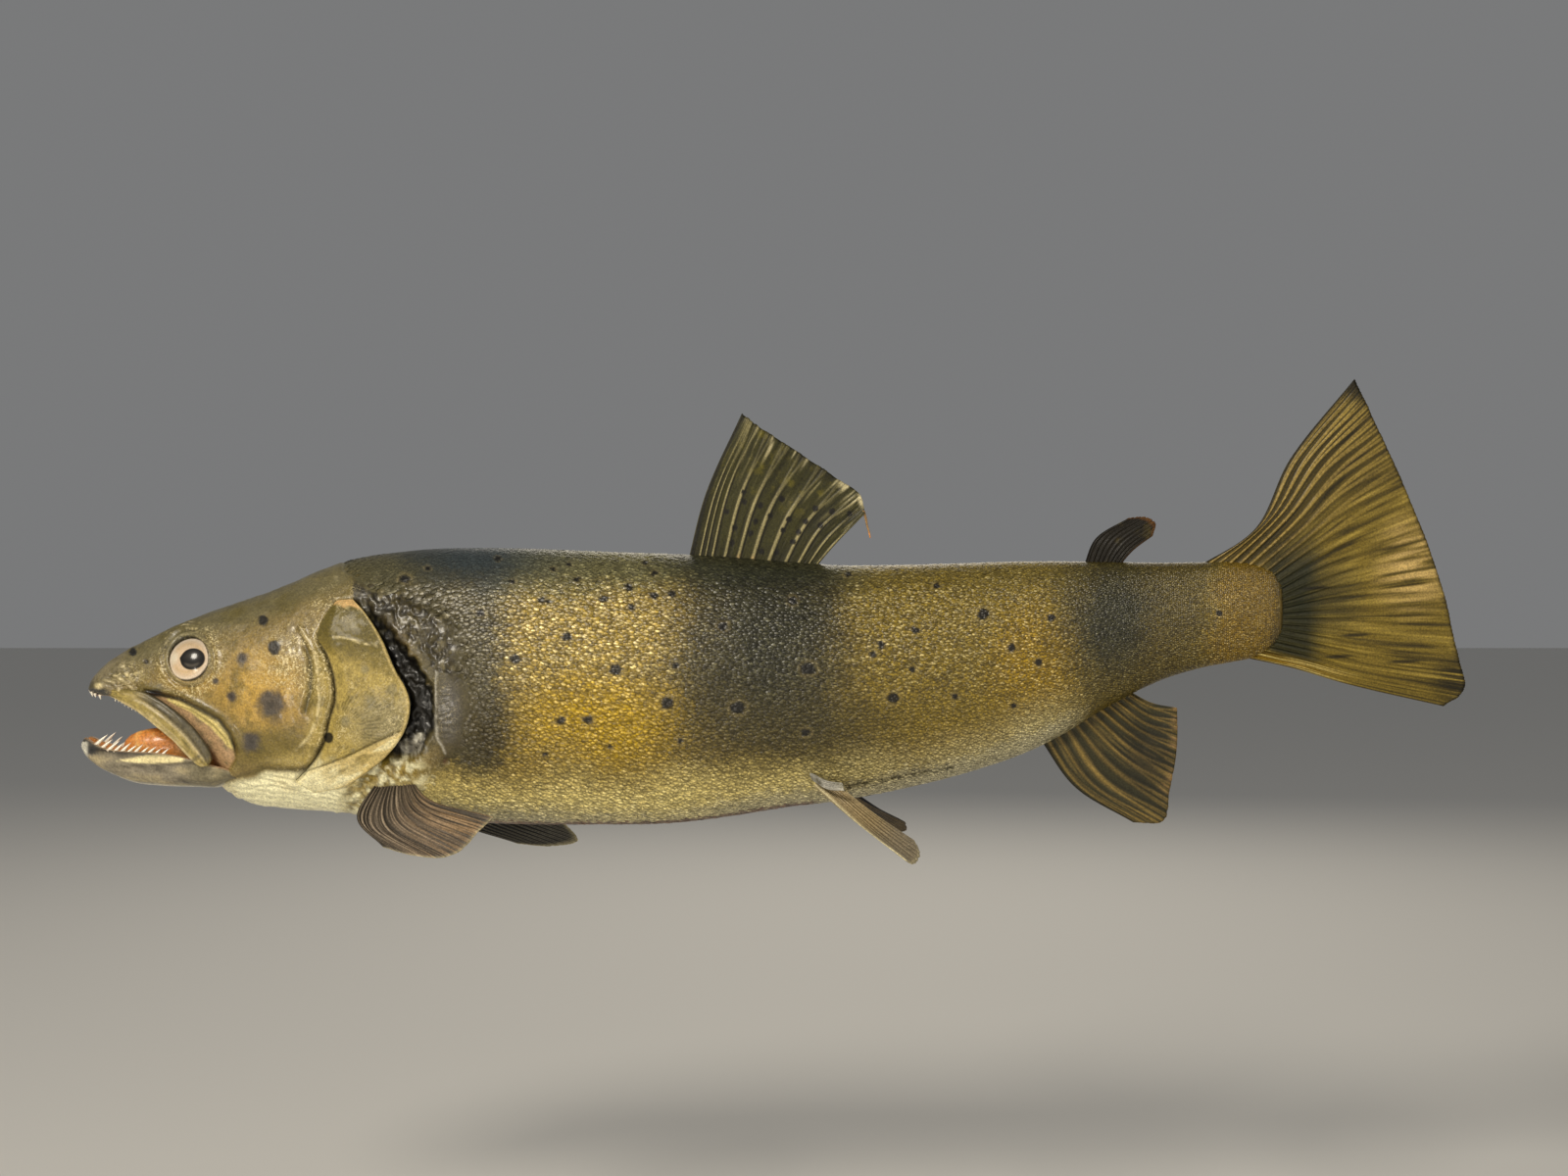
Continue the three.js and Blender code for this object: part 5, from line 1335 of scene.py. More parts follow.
def open_piece(name, points, quads, colour, uv):
    """A coat of scales: open plates, so their faces keep their own direction."""
    mesh = bpy.data.meshes.new(name)
    mesh.vertices.add(len(points))
    mesh.vertices.foreach_set("co", (points * MM).astype(np.float32).ravel())
    corners = quads.astype(np.int32).ravel()
    mesh.loops.add(len(corners))
    mesh.loops.foreach_set("vertex_index", corners)
    mesh.polygons.add(len(quads))
    mesh.polygons.foreach_set("loop_start", (np.arange(len(quads)) * 4).astype(np.int32))
    mesh.polygons.foreach_set("use_smooth", np.ones(len(quads), bool))
    mesh.update(calc_edges=True)
    layer = mesh.color_attributes.new("paint", "FLOAT_COLOR", "POINT")
    layer.data.foreach_set("color", opaque(colour).astype(np.float32).ravel())
    mesh.uv_layers.new(name="OFBake").data.foreach_set("uv", uv[corners].astype(np.float32).ravel())
    mesh.materials.append(COAT)
    piece = bpy.data.objects.new(name, mesh)
    bpy.context.scene.collection.objects.link(piece)
    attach(piece, "root")


# ---- Gill covers ----------------------------------------------------------------------------------------------------


def edge_points(line, shares):
    """Points x, z along an edge at those shares."""
    flat = np.concatenate([line, np.zeros((len(line), 1))], axis=1)[None].astype(float)
    return spline(flat, shares[None])[0][:, :2]


def gill_cover(side, name):
    """The bony cover over the gills: tucked in along its front edge, free along its rear edge."""
    rows, count = 150, 80
    down = np.linspace(0, 1, rows)
    over = np.linspace(0, 1, count)
    front = edge_points(COVER_FRONT, down)
    rear = edge_points(COVER_REAR, down)
    place = front[:, None] * (1 - over)[None, :, None] + rear[:, None] * over[None, :, None]
    x, z = place[..., 0], place[..., 1]
    s = np.broadcast_to(over[None], x.shape)
    t = np.broadcast_to(down[:, None], x.shape)
    base = np.stack([x, middle(x) + side * body_side(x, z), z], -1)
    flat = base.reshape(-1, 3)
    lx, lz, _ = layout(flat)
    coarse = fractal(flat, 10, 41).reshape(x.shape)
    fine = fractal(flat, 2.4, 43).reshape(x.shape)
    tucked = -0.9 * smooth(0.10, 0.45, t)
    lift = tucked + (COVER_LIFT - tucked) * smooth(0, 0.22, s)
    lift = lift * smooth(-0.03, 0.05, t) * (1 - 0.6 * smooth(0.93, 1.0, t)) + 0.35 * coarse + 0.12 * fine
    ridge, _ = line_distance(lx, lz, COVER_RIDGE)
    lift = lift + 0.3 * (bump(ridge, 0.8) * smooth(-0.4, 0.4, fractal(flat, 4, 49))).reshape(x.shape)
    line_x, line_z = zip(*COVER_LINE[::-1])
    below = smooth(-0.4, 0.8, np.interp(lx, line_x, line_z) - lz).reshape(x.shape)
    seam, _ = line_distance(lx, lz, COVER_LINE)
    lift = lift - 0.7 * below - 0.5 * bump(seam, 0.6).reshape(x.shape)
    fan = np.sin(75 * np.arctan2(lz - COVER_FAN[1], lx - COVER_FAN[0]) + 4 * coarse.ravel()).reshape(x.shape)
    lift = lift + 0.10 * fan * smooth(-0.3, 0.5, coarse) * smooth(0.1, 0.3, s) * smooth(0.3, 0.6, t) * (1 - below)
    lift = np.minimum(lift, COVER_LIFT + 0.5)
    thick = 2.6 - 1.3 * smooth(0.5, 1, s)
    round_edge = np.sqrt(np.clip(1 - smooth(0.965, 1, s) ** 2, 0, 1)) * smooth(-0.01, 0.03, t)
    outer = base + np.array([0, side, 0]) * (lift - thick * 0.5 * (1 - round_edge))[..., None]
    inner = base + np.array([0, side, 0]) * (lift - thick + thick * 0.5 * (1 - round_edge) - 0.05)[..., None]
    points, quads = plate(outer, inner)
    colour = np.tile(COLOUR["plate"], (len(points), 1))
    px, pz, _ = layout(points)
    wide = fractal(points, 14, 45)
    small = fractal(points, 4, 47)
    share_s = np.concatenate([s.ravel(), s.ravel()])
    share_t = np.concatenate([t.ravel(), t.ravel()])
    inner_face = np.arange(len(points)) >= x.size
    colour = lay(colour, "cheek_low", 0.6 * smooth(0.0, 0.6, wide))
    colour = lay(colour, "cheek_low", 0.9 * (1 - smooth(0.16, 0.36, share_t + 0.06 * wide)))
    colour = lay(colour, "olive", 0.8 * (1 - smooth(0.16, 0.36, share_t + 0.05 * small)))
    colour = lay(colour, "olive", 0.55 * smooth(0.05, 0.6, small))
    colour = lay(colour, "plate_low", 0.85 * oval(px + 3 * wide, pz + 3 * wide, (-124, -30), (20, 17), 0.7))
    fine_lines = np.sin(75 * np.arctan2(pz - COVER_FAN[1], px - COVER_FAN[0]) + 3 * wide)
    broken = smooth(-0.3, 0.5, small) * smooth(0.3, 0.6, share_t)
    colour = lay(colour, "olive", 0.55 * smooth(0.1, 1, fine_lines) * broken)
    colour = lay(colour, "spot_rim", 0.3 * smooth(0.1, 1, -fine_lines) * broken)
    orange = 1 - smooth(0.02, 0.06, share_t + 0.025 * small + 0.05 * (1 - share_s) - 0.03)
    colour = lay(colour, "orange_edge", 0.9 * orange)
    seam, _ = line_distance(px, pz, COVER_LINE)
    low_part = smooth(-0.4, 1.5, np.interp(px, line_x, line_z) - pz)
    colour = lay(colour, "plate_edge", 0.75 * low_part)
    lengthwise = np.stack([0.25 * (0.89 * px + 0.45 * pz), 0.89 * pz - 0.45 * px, 0 * px], -1)
    streak = fractal(lengthwise, 2.2, 48)
    colour = lay(colour, "cheek_low", 0.55 * low_part * smooth(0.1, 0.5, streak))
    colour = lay(colour, "throat", 0.5 * low_part * smooth(0.1, 0.5, -streak))
    colour = lay(colour, "throat", 0.7 * smooth(0.80, 0.97, share_t + 0.05 * small))
    # painted shade in the seam's groove
    colour = lay(colour, "crease_shade_and_mottle", 0.8 * bump(seam, 0.45) * (1 - 0.4 * smooth(-150, -140, -px)))
    ridge, _ = line_distance(px, pz, COVER_RIDGE)
    colour = lay(colour, "pale_fleck_and_glint", 0.8 * bump(ridge + 0.5 * small, 0.55) * smooth(-0.4, 0.2, small))
    colour = lay(colour, "plate_edge", 0.7 * bump((1 - share_s) * 30 - 0.8, 0.7))
    # painted shade along the front edge, where it tucks in under the skin
    colour = lay(colour, "crease_shade_and_mottle", 0.9 * (1 - smooth(0.0, 0.045, share_s)) * smooth(0.16, 0.28, share_t))
    colour = colour * (1 + 0.2 * fractal(points, 2, 46))[:, None]
    colour = head_spots(colour, px, pz, small)
    # the cover's underside in near-black: painted shade
    colour = lay(colour, "slot", 0.92 * inner_face)
    flecks = np.clip(0.35 + 0.9 * wide, 0, 1) * (1 - inner_face) * smooth(0.05, 0.2, share_s) * off_spots(px, pz)
    paint = np.concatenate([colour, flecks[:, None]], axis=1)
    new_piece(name + "_plate", points, quads, [], paint, PLATE, [name], plate_uv(rows, count))


# ---- Jaws, teeth and tongue -----------------------------------------------------------------------------------------

JAW_OUTER = 72
JAW_INNER = 40


def jaw_rings(xs):
    """Sections of the lower jaw: a trough with rounded lips, as rings from the left lip under the chin and back."""
    x = xs[:, None]
    sinks = smooth(-206, -194, x)
    half, top, bottom = jaw_half(x) - 4 * sinks, lip(x), chin(x) + 5 * sinks
    level = top - (top - bottom) * 0.3
    q = np.linspace(0, math.pi, JAW_OUTER)[None]
    y_out = -half * signed_power(np.cos(q), 0.62)
    z_out = level - (level - bottom) * np.abs(np.sin(q)) ** 0.9
    rise = smooth(0.86, 1, np.abs(np.cos(q)))
    z_out = z_out + (top - 0.5 - level) * rise
    wall = np.minimum(JAW_WALL, half * 0.62)
    inner_half = half - wall
    floor = np.minimum(bottom + JAW_FLOOR, top - 0.8)
    p = np.linspace(0, math.pi, JAW_INNER)[None]
    y_in = inner_half * signed_power(np.cos(p), 0.62)
    z_in = top - 0.5 - (top - 0.5 - floor) * np.abs(np.sin(p)) ** 0.7
    crest = wall * 0.28
    ring_y = np.concatenate([y_out, half - wall * 0.2 + 0 * q[:, :1], half - wall * 0.5 + 0 * q[:, :1],
                             half - wall * 0.8 + 0 * q[:, :1], y_in, -half + wall * 0.8 + 0 * q[:, :1],
                             -half + wall * 0.5 + 0 * q[:, :1], -half + wall * 0.2 + 0 * q[:, :1]], axis=1)
    over = [top - 0.5 + crest * k for k in (0.7, 1.0, 0.7)]
    ring_z = np.concatenate([z_out, *over, z_in, *over], axis=1)
    return np.stack([x + 0 * ring_y, middle(x) + ring_y, ring_z], -1)


def lower_jaw():
    """The hooked lower jaw: grey skin outside, a pale lip stripe, a white lower edge and an orange lining."""
    tip = np.array([0, 0.2, 0.5, 0.9, 1.4, 2.0, 2.7])
    xs = np.concatenate([JAW[0, 0] + tip, np.arange(JAW[0, 0] + 3.4, -193, 0.8)])
    rings = jaw_rings(xs)
    rows, count = rings.shape[:2]
    flat = rings.reshape(-1, 3)
    lx, lz, _ = layout(flat)
    ring_index = np.tile(np.arange(count), rows)
    outer = ring_index < JAW_OUTER
    inner = (ring_index > JAW_OUTER + 2) & (ring_index < JAW_OUTER + 3 + JAW_INNER)
    share = ring_index / (JAW_OUTER - 1)
    side_out = np.sign(flat[:, 1] - middle(flat[:, 0]))
    coarse = fractal(flat * np.array([0.35, 1, 1]), 5, 51)
    fine = fractal(flat, 2, 53)
    folds = outer * (0.35 * coarse + 0.1 * fine)
    folds -= outer * 0.6 * bump(lz + 50.6 - 0.05 * (lx + 245), 0.8) * between(lx, -258, -214, 6)
    folds -= outer * 0.5 * bump(lz + 43.4, 0.7) * (1 - smooth(-236, -226, lx))
    out = np.stack([0 * side_out, side_out, np.where(outer, -0.25, 0.0)], -1)
    flat = flat + out * folds[:, None] * smooth(-274.5, -270, flat[:, 0])[:, None]
    points, quads, triangles = loft_mesh(flat.reshape(rows, count, 3))
    colour = np.tile(COLOUR["jaw_grey"], (len(points), 1))
    lx, lz, _ = layout(points)
    wide = fractal(points * np.array([0.3, 1, 1]), 5, 55)
    pad = lambda values, fill: np.concatenate([values, [fill, fill]])
    outer_all, inner_all, share_all = pad(outer, True), pad(inner, False), pad(share, 0.5)
    colour = lay(colour, "jaw_olive", 0.7 * smooth(-232, -218, lx + 4 * wide) * outer_all)
    colour = lay(colour, "maxilla_line", 0.5 * smooth(0.0, 0.6, wide) * outer_all)
    colour = lay(colour, "gum", 0.55 * smooth(0.05, 0.6, -wide) * outer_all)
    # a dark line along the groove below the lip: painted shade in the groove
    colour = lay(colour, "gum", 0.6 * bump(lz + 50.6 - 0.05 * (lx + 245), 0.7) * between(lx, -262, -212, 6) * outer_all)
    stripe = inside_distance(lx, lz, [(-261, -48.2), (-245, -45.3), (-227, -42.4), (-224, -45), (-227, -48.8), (-245, -49.6)])
    colour = lay(colour, "jaw_stripe", 0.95 * smooth(-0.5, 0.5, stripe) * outer_all)
    gum = bump(lz + 43.6 + 0.06 * (lx + 250), 1.9) * (1 - smooth(-236, -228, lx))
    colour = lay(colour, "gum", 0.95 * gum * outer_all)
    under = 1 - smooth(0.10, 0.22, np.abs(share_all - 0.5))
    colour = lay(colour, "jaw_white", 0.9 * under * outer_all * smooth(-272, -266, lx))
    colour = lay(colour, "nose", 0.85 * (1 - smooth(-272.5, -268.5, lx)) * (lz > -45))
    colour = lay(colour, "jaw_white", 0.85 * (1 - smooth(-276.5, -274.5, lx)) * (lz < -38.5))
    colour = colour * (1 + 0.2 * fractal(points, 1.8, 57))[:, None]
    colour = lay(colour, "lining", 0.9 * inner_all)
    colour = lay(colour, "lining_pale", 0.7 * inner_all * smooth(-244, -226, lx))
    crest = ~outer_all & ~inner_all
    colour = lay(colour, "mouth_pink", 0.6 * crest)
    new_piece("lower_jaw_skin", points, quads, triangles, opaque(colour), GUM, ["lower_jaw"],
              loft_uv(rows, count), wraps=True)


def maxilla_frame(side, share):
    """Middle line of the upper jaw bone at those shares of its length: points, half heights and the way across it."""
    table = MAXILLA.astype(float)
    line = spline(np.stack([table[:, 0], table[:, 1], table[:, 2]], -1)[None], share[None])[0]
    step = np.gradient(line[:, :2], axis=0)
    step /= np.linalg.norm(step, axis=1, keepdims=True)
    return line, step


def maxilla_out(x, z):
    """How far the upper jaw bone's middle stands from the middle plane."""
    return np.maximum(np.maximum(body_side(x, z), jaw_half(np.maximum(x, -270)) + 0.6), 6) + MAXILLA_STANDS_OFF


def upper_jaw(side, name):
    """The bone along the upper jaw: olive in front, dark grey behind and a pale line where they meet."""
    rows, count = 110, 40
    share = np.linspace(0, 1, rows)
    line, step = maxilla_frame(side, share)
    turn = np.arange(count) * 2 * math.pi / count
    half = line[:, 2][:, None] * np.sqrt(np.clip(1 - smooth(0.93, 1.0, share) ** 2, 0.05, 1))[:, None]
    across = half * np.sin(turn)[None]
    x = line[:, 0][:, None] - step[:, 1][:, None] * across
    z = line[:, 1][:, None] + step[:, 0][:, None] * across
    out = maxilla_out(line[:, 0], line[:, 1])[:, None]
    v = np.sin(turn)[None]
    face = np.maximum(np.cos(turn), 0)[None]
    channel = -0.8 * bump(v - 0.12, 0.10) + 0.15 * bump(v + 0.05, 0.12) + 0.3 * bump(v - 0.5, 0.25) - 0.5 * (v < 0) * v * v
    streaks = np.stack([np.broadcast_to(share[:, None] * 9, x.shape).ravel(), (6 * v + 0 * x).ravel(), 0 * x.ravel()], -1)
    rough = (fractal(streaks, 1.2, 61) + 0.5 * fractal(streaks * np.array([[3, 2, 1]]), 1.2, 62)).reshape(x.shape)
    thick = MAXILLA_HALF_THICKNESS * signed_power(np.cos(turn), 0.4)[None] + face * (channel + 0.45 * rough)
    merge = 2.6 * (1 - smooth(0.0, 0.24, share))[:, None]
    y = middle(x) + side * (out - merge + thick * (1 - 0.5 * smooth(0.94, 1, share))[:, None])
    rings = np.stack([x, y, z], -1)
    points, quads, triangles = loft_mesh(rings)
    v_all = np.concatenate([np.broadcast_to(v, x.shape).ravel(), [0, 0]])
    t_all = np.concatenate([np.broadcast_to(share[:, None], x.shape).ravel(), [0, 1]])
    wide = np.concatenate([rough.ravel(), [0, 0]])
    small = fractal(points, 2.2, 65)
    colour = np.tile(COLOUR["maxilla_front"], (len(points), 1))
    colour = lay(colour, "olive", 0.7 * smooth(0.0, 0.5, wide))
    rear = smooth(0.02, 0.2, v_all + 0.06 * wide) * between(t_all, 0.25, 0.95, 0.1)
    colour = lay(colour, "maxilla_rear", 0.9 * rear)
    colour = lay(colour, "crease_shade_and_mottle", 0.5 * rear * smooth(0.1, 0.6, small))
    colour = lay(colour, "maxilla_line", 0.8 * bump(v_all - 0.04, 0.08) * between(t_all, 0.3, 0.85, 0.08))
    colour = lay(colour, "maxilla_line", 0.5 * smooth(0.2, 0.7, -wide) * (1 - rear))
    colour = lay(colour, "maxilla_line", 0.7 * between(v_all, -0.98, -0.80, 0.04) * (1 - smooth(0.75, 0.9, t_all)))
    # darker along the upper edge, where the bone tucks in against the cheek: painted shade
    colour = lay(colour, "crease_shade_and_mottle", 0.5 * smooth(0.8, 0.98, v_all))
    colour = lay(colour, "maxilla_rear", 0.6 * bump(t_all - 0.80, 0.03) * (v_all < 0.3))
    colour = colour * (1 + 0.22 * small)[:, None]
    new_piece(name + "_bone", points, quads, triangles, opaque(colour), GUM, [name],
              loft_uv(rows, count), wraps=True)


def tooth(root, direction, length, width, bend=0.25):
    """One conical tooth, curved back towards its point: points, quads, triangles and colours."""
    sides, levels = 8, 6
    direction = np.array(direction, float)
    direction /= np.linalg.norm(direction)
    side = np.cross(direction, (1.0, 0.0, 0.0))
    side /= np.linalg.norm(side)
    front = np.cross(side, direction)
    turn = np.arange(sides) * 2 * math.pi / sides
    q = np.linspace(0, 1, levels)
    radius = width * (1 - q) ** 0.75 + 0.05
    centre = np.array(root)[None] + direction[None] * ((length + 1) * q - 1)[:, None]
    centre = centre + np.array([[bend * length, 0, 0]]) * (q ** 2)[:, None]
    rings = (centre[:, None] + side[None, None] * (radius[:, None] * np.cos(turn)[None])[..., None]
             + front[None, None] * (radius[:, None] * np.sin(turn)[None])[..., None])
    points, quads, triangles = loft_mesh(rings)
    share = np.concatenate([np.repeat(q, sides), [0, 1]])
    colour = np.tile(COLOUR["tooth"], (len(points), 1))
    colour = lay(colour, "mouth_pink", 0.6 * (1 - smooth(0.0, 0.28, share)))
    return points, quads, triangles, colour


def teeth():
    """The rows of teeth: along the lower jaw, along both upper jaw bones and round the front of the snout."""
    chance = np.random.default_rng(7)
    rows = {"lower_teeth": [], "upper_teeth": []}
    spec = LOWER_TEETH
    for side in (-1, 1):
        for i in range(spec["count"]):
            share = i / (spec["count"] - 1)
            x = spec["from"] + (spec["to"] - spec["from"]) * share
            length = spec["longest"] + (spec["shortest"] - spec["longest"]) * share - (i % 2) * 0.7
            y = float(middle(x)) + side * (float(jaw_half(x)) - JAW_WALL / 2)
            lean = spec["lean"] + 0.25 * (chance.random() - 0.3)
            rows["lower_teeth"].append(tooth((x, y, float(lip(x))), (lean, -side * 0.12, 1), length, length * 0.13 + 0.45))
    spec = UPPER_TEETH
    for side in (-1, 1):
        share = np.linspace(spec["from"], spec["to"], spec["count"])
        line, step = maxilla_frame(side, share)
        edge_x = line[:, 0] + step[:, 1] * line[:, 2] * 0.85
        edge_z = line[:, 1] - step[:, 0] * line[:, 2] * 0.85
        out = maxilla_out(line[:, 0], line[:, 1]) - 2.6 * (1 - smooth(0.0, 0.24, share))
        lengths = np.linspace(spec["longest"], spec["shortest"], spec["count"]) * (0.8 + 0.4 * chance.random(spec["count"]))
        for x, z, off, length in zip(edge_x, edge_z, out, lengths):
            root = (x, float(middle(x)) + side * (off - 0.3), z)
            rows["upper_teeth"].append(tooth(root, (-0.2, -side * 0.15, -1), length, 0.6, 0.1))
    spec = FRONT_TEETH
    for i in range(spec["count"]):
        angle = spec["spread"] * (2 * i / (spec["count"] - 1) - 1)
        x = -261.5 - 9.5 * math.cos(angle)
        y = float(middle(x)) + 8.6 * math.sin(angle)
        z = float(belly(x)) + 1.2
        rows["upper_teeth"].append(tooth((x, y, z), (0.1, 0, -1), spec["length"] + 0.8 * chance.random(), 0.85, 0.2))
    for name, parts in rows.items():
        points, quads, triangles, colour = joined(parts)
        new_piece(name, points, quads, triangles, opaque(colour), ENAMEL, [])


def tongue():
    """The tongue on the mouth's floor."""
    rows, count = 60, 48
    along = np.linspace(0, math.pi, rows)[:, None]
    turn = (np.arange(count) * 2 * math.pi / count)[None]
    x = TONGUE["x"] - TONGUE["half_length"] * np.cos(along) + 0 * turn
    reach = np.sin(along) ** 0.8
    groove = 1 - 0.16 * bump(turn - math.pi / 2, 0.25)
    y = middle(x) + TONGUE["half_width"] * reach * np.cos(turn)
    z = TONGUE["z"] + TONGUE["half_height"] * reach * np.sin(turn) * groove
    rings = np.stack([x, y, z], -1)
    rough = fractal(rings.reshape(-1, 3), 3, 71).reshape(rows, count)
    rings[..., 2] += 0.5 * rough * (np.sin(turn) > 0)
    points, quads, triangles = loft_mesh(rings)
    wide = fractal(points, 4, 73)
    colour = np.tile(COLOUR["tongue"], (len(points), 1))
    colour = lay(colour, "tongue_pale", smooth(-0.1, 0.7, wide) * 0.7)
    colour = lay(colour, "lining_pale", 0.6 * smooth(-232, -218, points[:, 0]))
    new_piece("tongue_wax", points, quads, triangles, opaque(colour), WET, ["tongue"], loft_uv(rows, count), True)


# ---- Eyes -----------------------------------------------------------------------------------------------------------


def eye(side, name):
    """A glass eye: a shallow dome with a painted iris and a pupil that is drawn out to a point in front."""
    turn = math.pi if side < 0 else 0.0
    angles = np.linspace(turn - 1.2, turn + 1.2, 2401)
    ring = section(np.full(len(angles), EYE["x"]), angles)
    on_side = np.sign(ring[:, 1] - middle(EYE["x"])) == side
    best = np.argmin(np.abs(ring[:, 2] - EYE["z"]) + 1e3 * ~on_side)
    point, along, around, normal = (a[0] for a in surface_frame(np.array([EYE["x"]]), angles[best:best + 1]))
    forward = -along
    up = np.cross(normal, forward)
    up = up if up[2] > 0 else -up
    rings, count = 56, 96
    rim = EYE["radius"]
    r = np.concatenate([rim * np.linspace(0.015, 1, rings) ** 0.9, [rim + 0.2, rim + 0.1, rim - 0.8]])
    curve = EYE["curve"]
    height = EYE["bulge"] - (curve - np.sqrt(curve ** 2 - np.minimum(r, rim) ** 2))
    height[-3:] -= [0.8, 2.4, 5.0]
    angle = np.arange(count) * 2 * math.pi / count
    grid = (point[None, None] + forward[None, None] * (r[:, None] * np.cos(angle)[None])[..., None]
            + up[None, None] * (r[:, None] * np.sin(angle)[None])[..., None]
            + normal[None, None] * height[:, None, None])
    points, quads, triangles = loft_mesh(grid)
    fx = (points - point) @ forward
    fz = (points - point) @ up
    radius = np.hypot(fx, fz)
    heading = np.arctan2(fz, fx)
    speckle = fractal(points, 1.3, 81)
    colour = np.tile(COLOUR["iris"], (len(points), 1))
    colour = lay(colour, "iris_rim", 0.8 * smooth(8.6, 9.8, radius) + 0.25 * smooth(0.2, 0.9, speckle))
    colour = lay(colour, "cheek", 0.25 * bump(radius - 7.2, 0.8))
    # greyer towards the top: painted shade under the lid
    colour = lay(colour, "pelvic_grey", 0.35 * smooth(2, 9, fz))
    colour = lay(colour, "eye_ring", 0.9 * smooth(10.2, 10.8, radius + 0.15 * speckle))
    pupil = np.hypot((fx + 2.9 - 0.5 * np.exp(-(heading / 0.3) ** 2)) / 6.2, (fz + 0.8) / 5.6)
    # a soft pale spot in front: painted highlight
    colour = lay(colour, "jaw_white", 0.6 * oval(fx, fz, (7.3, 0.5), (3, 4), 0.8))
    colour = lay(colour, "pupil", 1 - smooth(0.94, 1.03, pupil))
    # paler high in the pupil and in an arc low down: painted reflection
    colour = lay(colour, "pupil_sheen", 0.3 * (1 - smooth(0.3, 0.85, pupil)) * smooth(-3, 2, fz))
    colour = lay(colour, "pupil_sheen", 0.8 * bump(pupil - 0.62, 0.14) * (1 - smooth(-4, -2, fz)))
    new_piece(name + "_glass", points, quads, triangles, opaque(colour), GLASS_EYE, [name])


# ---- Fins -----------------------------------------------------------------------------------------------------------


def ray_ridge(share, reach, spec):
    """1 on a fin ray and 0 between rays. Each ray splits in two beyond its branching, and again nearer the edge."""
    count = spec["count"]
    centres = np.array(spec.get("centres", (np.arange(count) + 0.5) / count))
    places = np.concatenate([[centres[0] - 1 / count], centres, [centres[-1] + 1 / count]])
    phase = np.interp(share, places, np.arange(count + 2) - 0.5)
    off = np.abs(phase - np.floor(phase) - 0.5)
    off = np.abs(off - spec["spread"] * smooth(spec["branch"], 1.0, reach))
    off = np.abs(off - spec["spread"] * 0.46 * smooth(spec["branch"] + 0.28, 1.05, reach))
    width = spec["ridge"] * (1 - 0.6 * smooth(spec["branch"] * 0.6, 1, reach))
    return bump(off, width)


def fin_grid(spec, share, reach):
    """Points of a fin's middle surface at share across its rays and reach along them."""
    rays = np.array(spec["rays"], float)
    across = np.stack([spline(rays[None, :, k], share[None])[0] for k in range(rays.shape[1])], axis=1)
    points = spline(across, reach)
    points[..., 1] += middle(points[..., 0])
    return points


def fin_normals(grid):
    normal = np.cross(np.gradient(grid, axis=1), np.gradient(grid, axis=0))
    return normal / np.maximum(np.linalg.norm(normal, axis=-1, keepdims=True), 1e-9)


def fin(name, spec, paint):
    """A fin as a closed plate: raised rays, thinner webs between them and a slightly frayed edge."""
    rows, count = spec["grid"]
    share = np.linspace(0, 1, rows)
    steps = np.linspace(0, 1, count)
    seed = len(name)
    tip_ridge = ray_ridge(share, np.ones(rows), spec)
    wander = fractal(np.stack([share * 40, 0 * share, 0 * share], -1), 3, seed)
    end = 1 - spec["fringe"] * (0.3 * (1 - tip_ridge) + 1.2 * np.abs(wander))
    reach = steps[None] * end[:, None]
    grid = fin_grid(spec, share, reach)
    normal = fin_normals(grid)
    s = np.broadcast_to(share[:, None], reach.shape)
    ridge = ray_ridge(s, reach, spec)
    streak = 0
    for share_of_all, across, along in ((0.5, 2.2, 2.4), (0.9, 5, 4)):
        place = np.stack([s.ravel() * spec["count"] * across, reach.ravel() * along, 0 * reach.ravel()], -1)
        streak = streak + share_of_all * fractal(place, 1.0, 70 + seed, 2).reshape(reach.shape)
    half = (spec["root"] + (spec["edge"] - spec["root"]) * np.minimum(1, reach / FIN_TAPER)) / 2
    rim = smooth(0, 0.03, s) * smooth(0, 0.03, 1 - s) * smooth(0, 0.03, 1.0 - steps[None])
    raised = 0.55 + 0.45 * ridge * smooth(-0.02, 0.16, reach) + 0.12 * streak
    half = half * raised * (0.35 + 0.65 * rim)
    waves = fractal(np.stack([s.ravel() * 60, reach.ravel() * 14, 0 * reach.ravel()], -1), 6, 90 + seed)
    grid = grid + normal * (spec["ripple"] * reach * waves.reshape(reach.shape))[..., None]
    points, quads = plate(grid + normal * half[..., None], grid - normal * half[..., None])

    def twice(values):
        return np.concatenate([values.ravel(), values.ravel()])

    x, z, _ = layout(points)
    # a dark line on one side of each raised ray: painted shadow of the ray
    shade = ray_ridge(s - 1.5 * spec["ridge"] / spec["count"], reach, spec) * (1 - ridge)
    at = SimpleNamespace(s=twice(s), t=twice(reach), ridge=twice(ridge), shade=twice(shade), streak=twice(streak),
                         x=x, z=z, fine=fractal(points, 5, 91), wide=fractal(points, 18, 93))
    colour = paint(at) * (1 + 0.25 * at.streak)[:, None]
    new_piece(name + "_web", points, quads, [], opaque(colour), FIN, [name], plate_uv(rows, count))


def plain_paint(at, name):
    return np.tile(COLOUR[name], (len(at.s), 1))


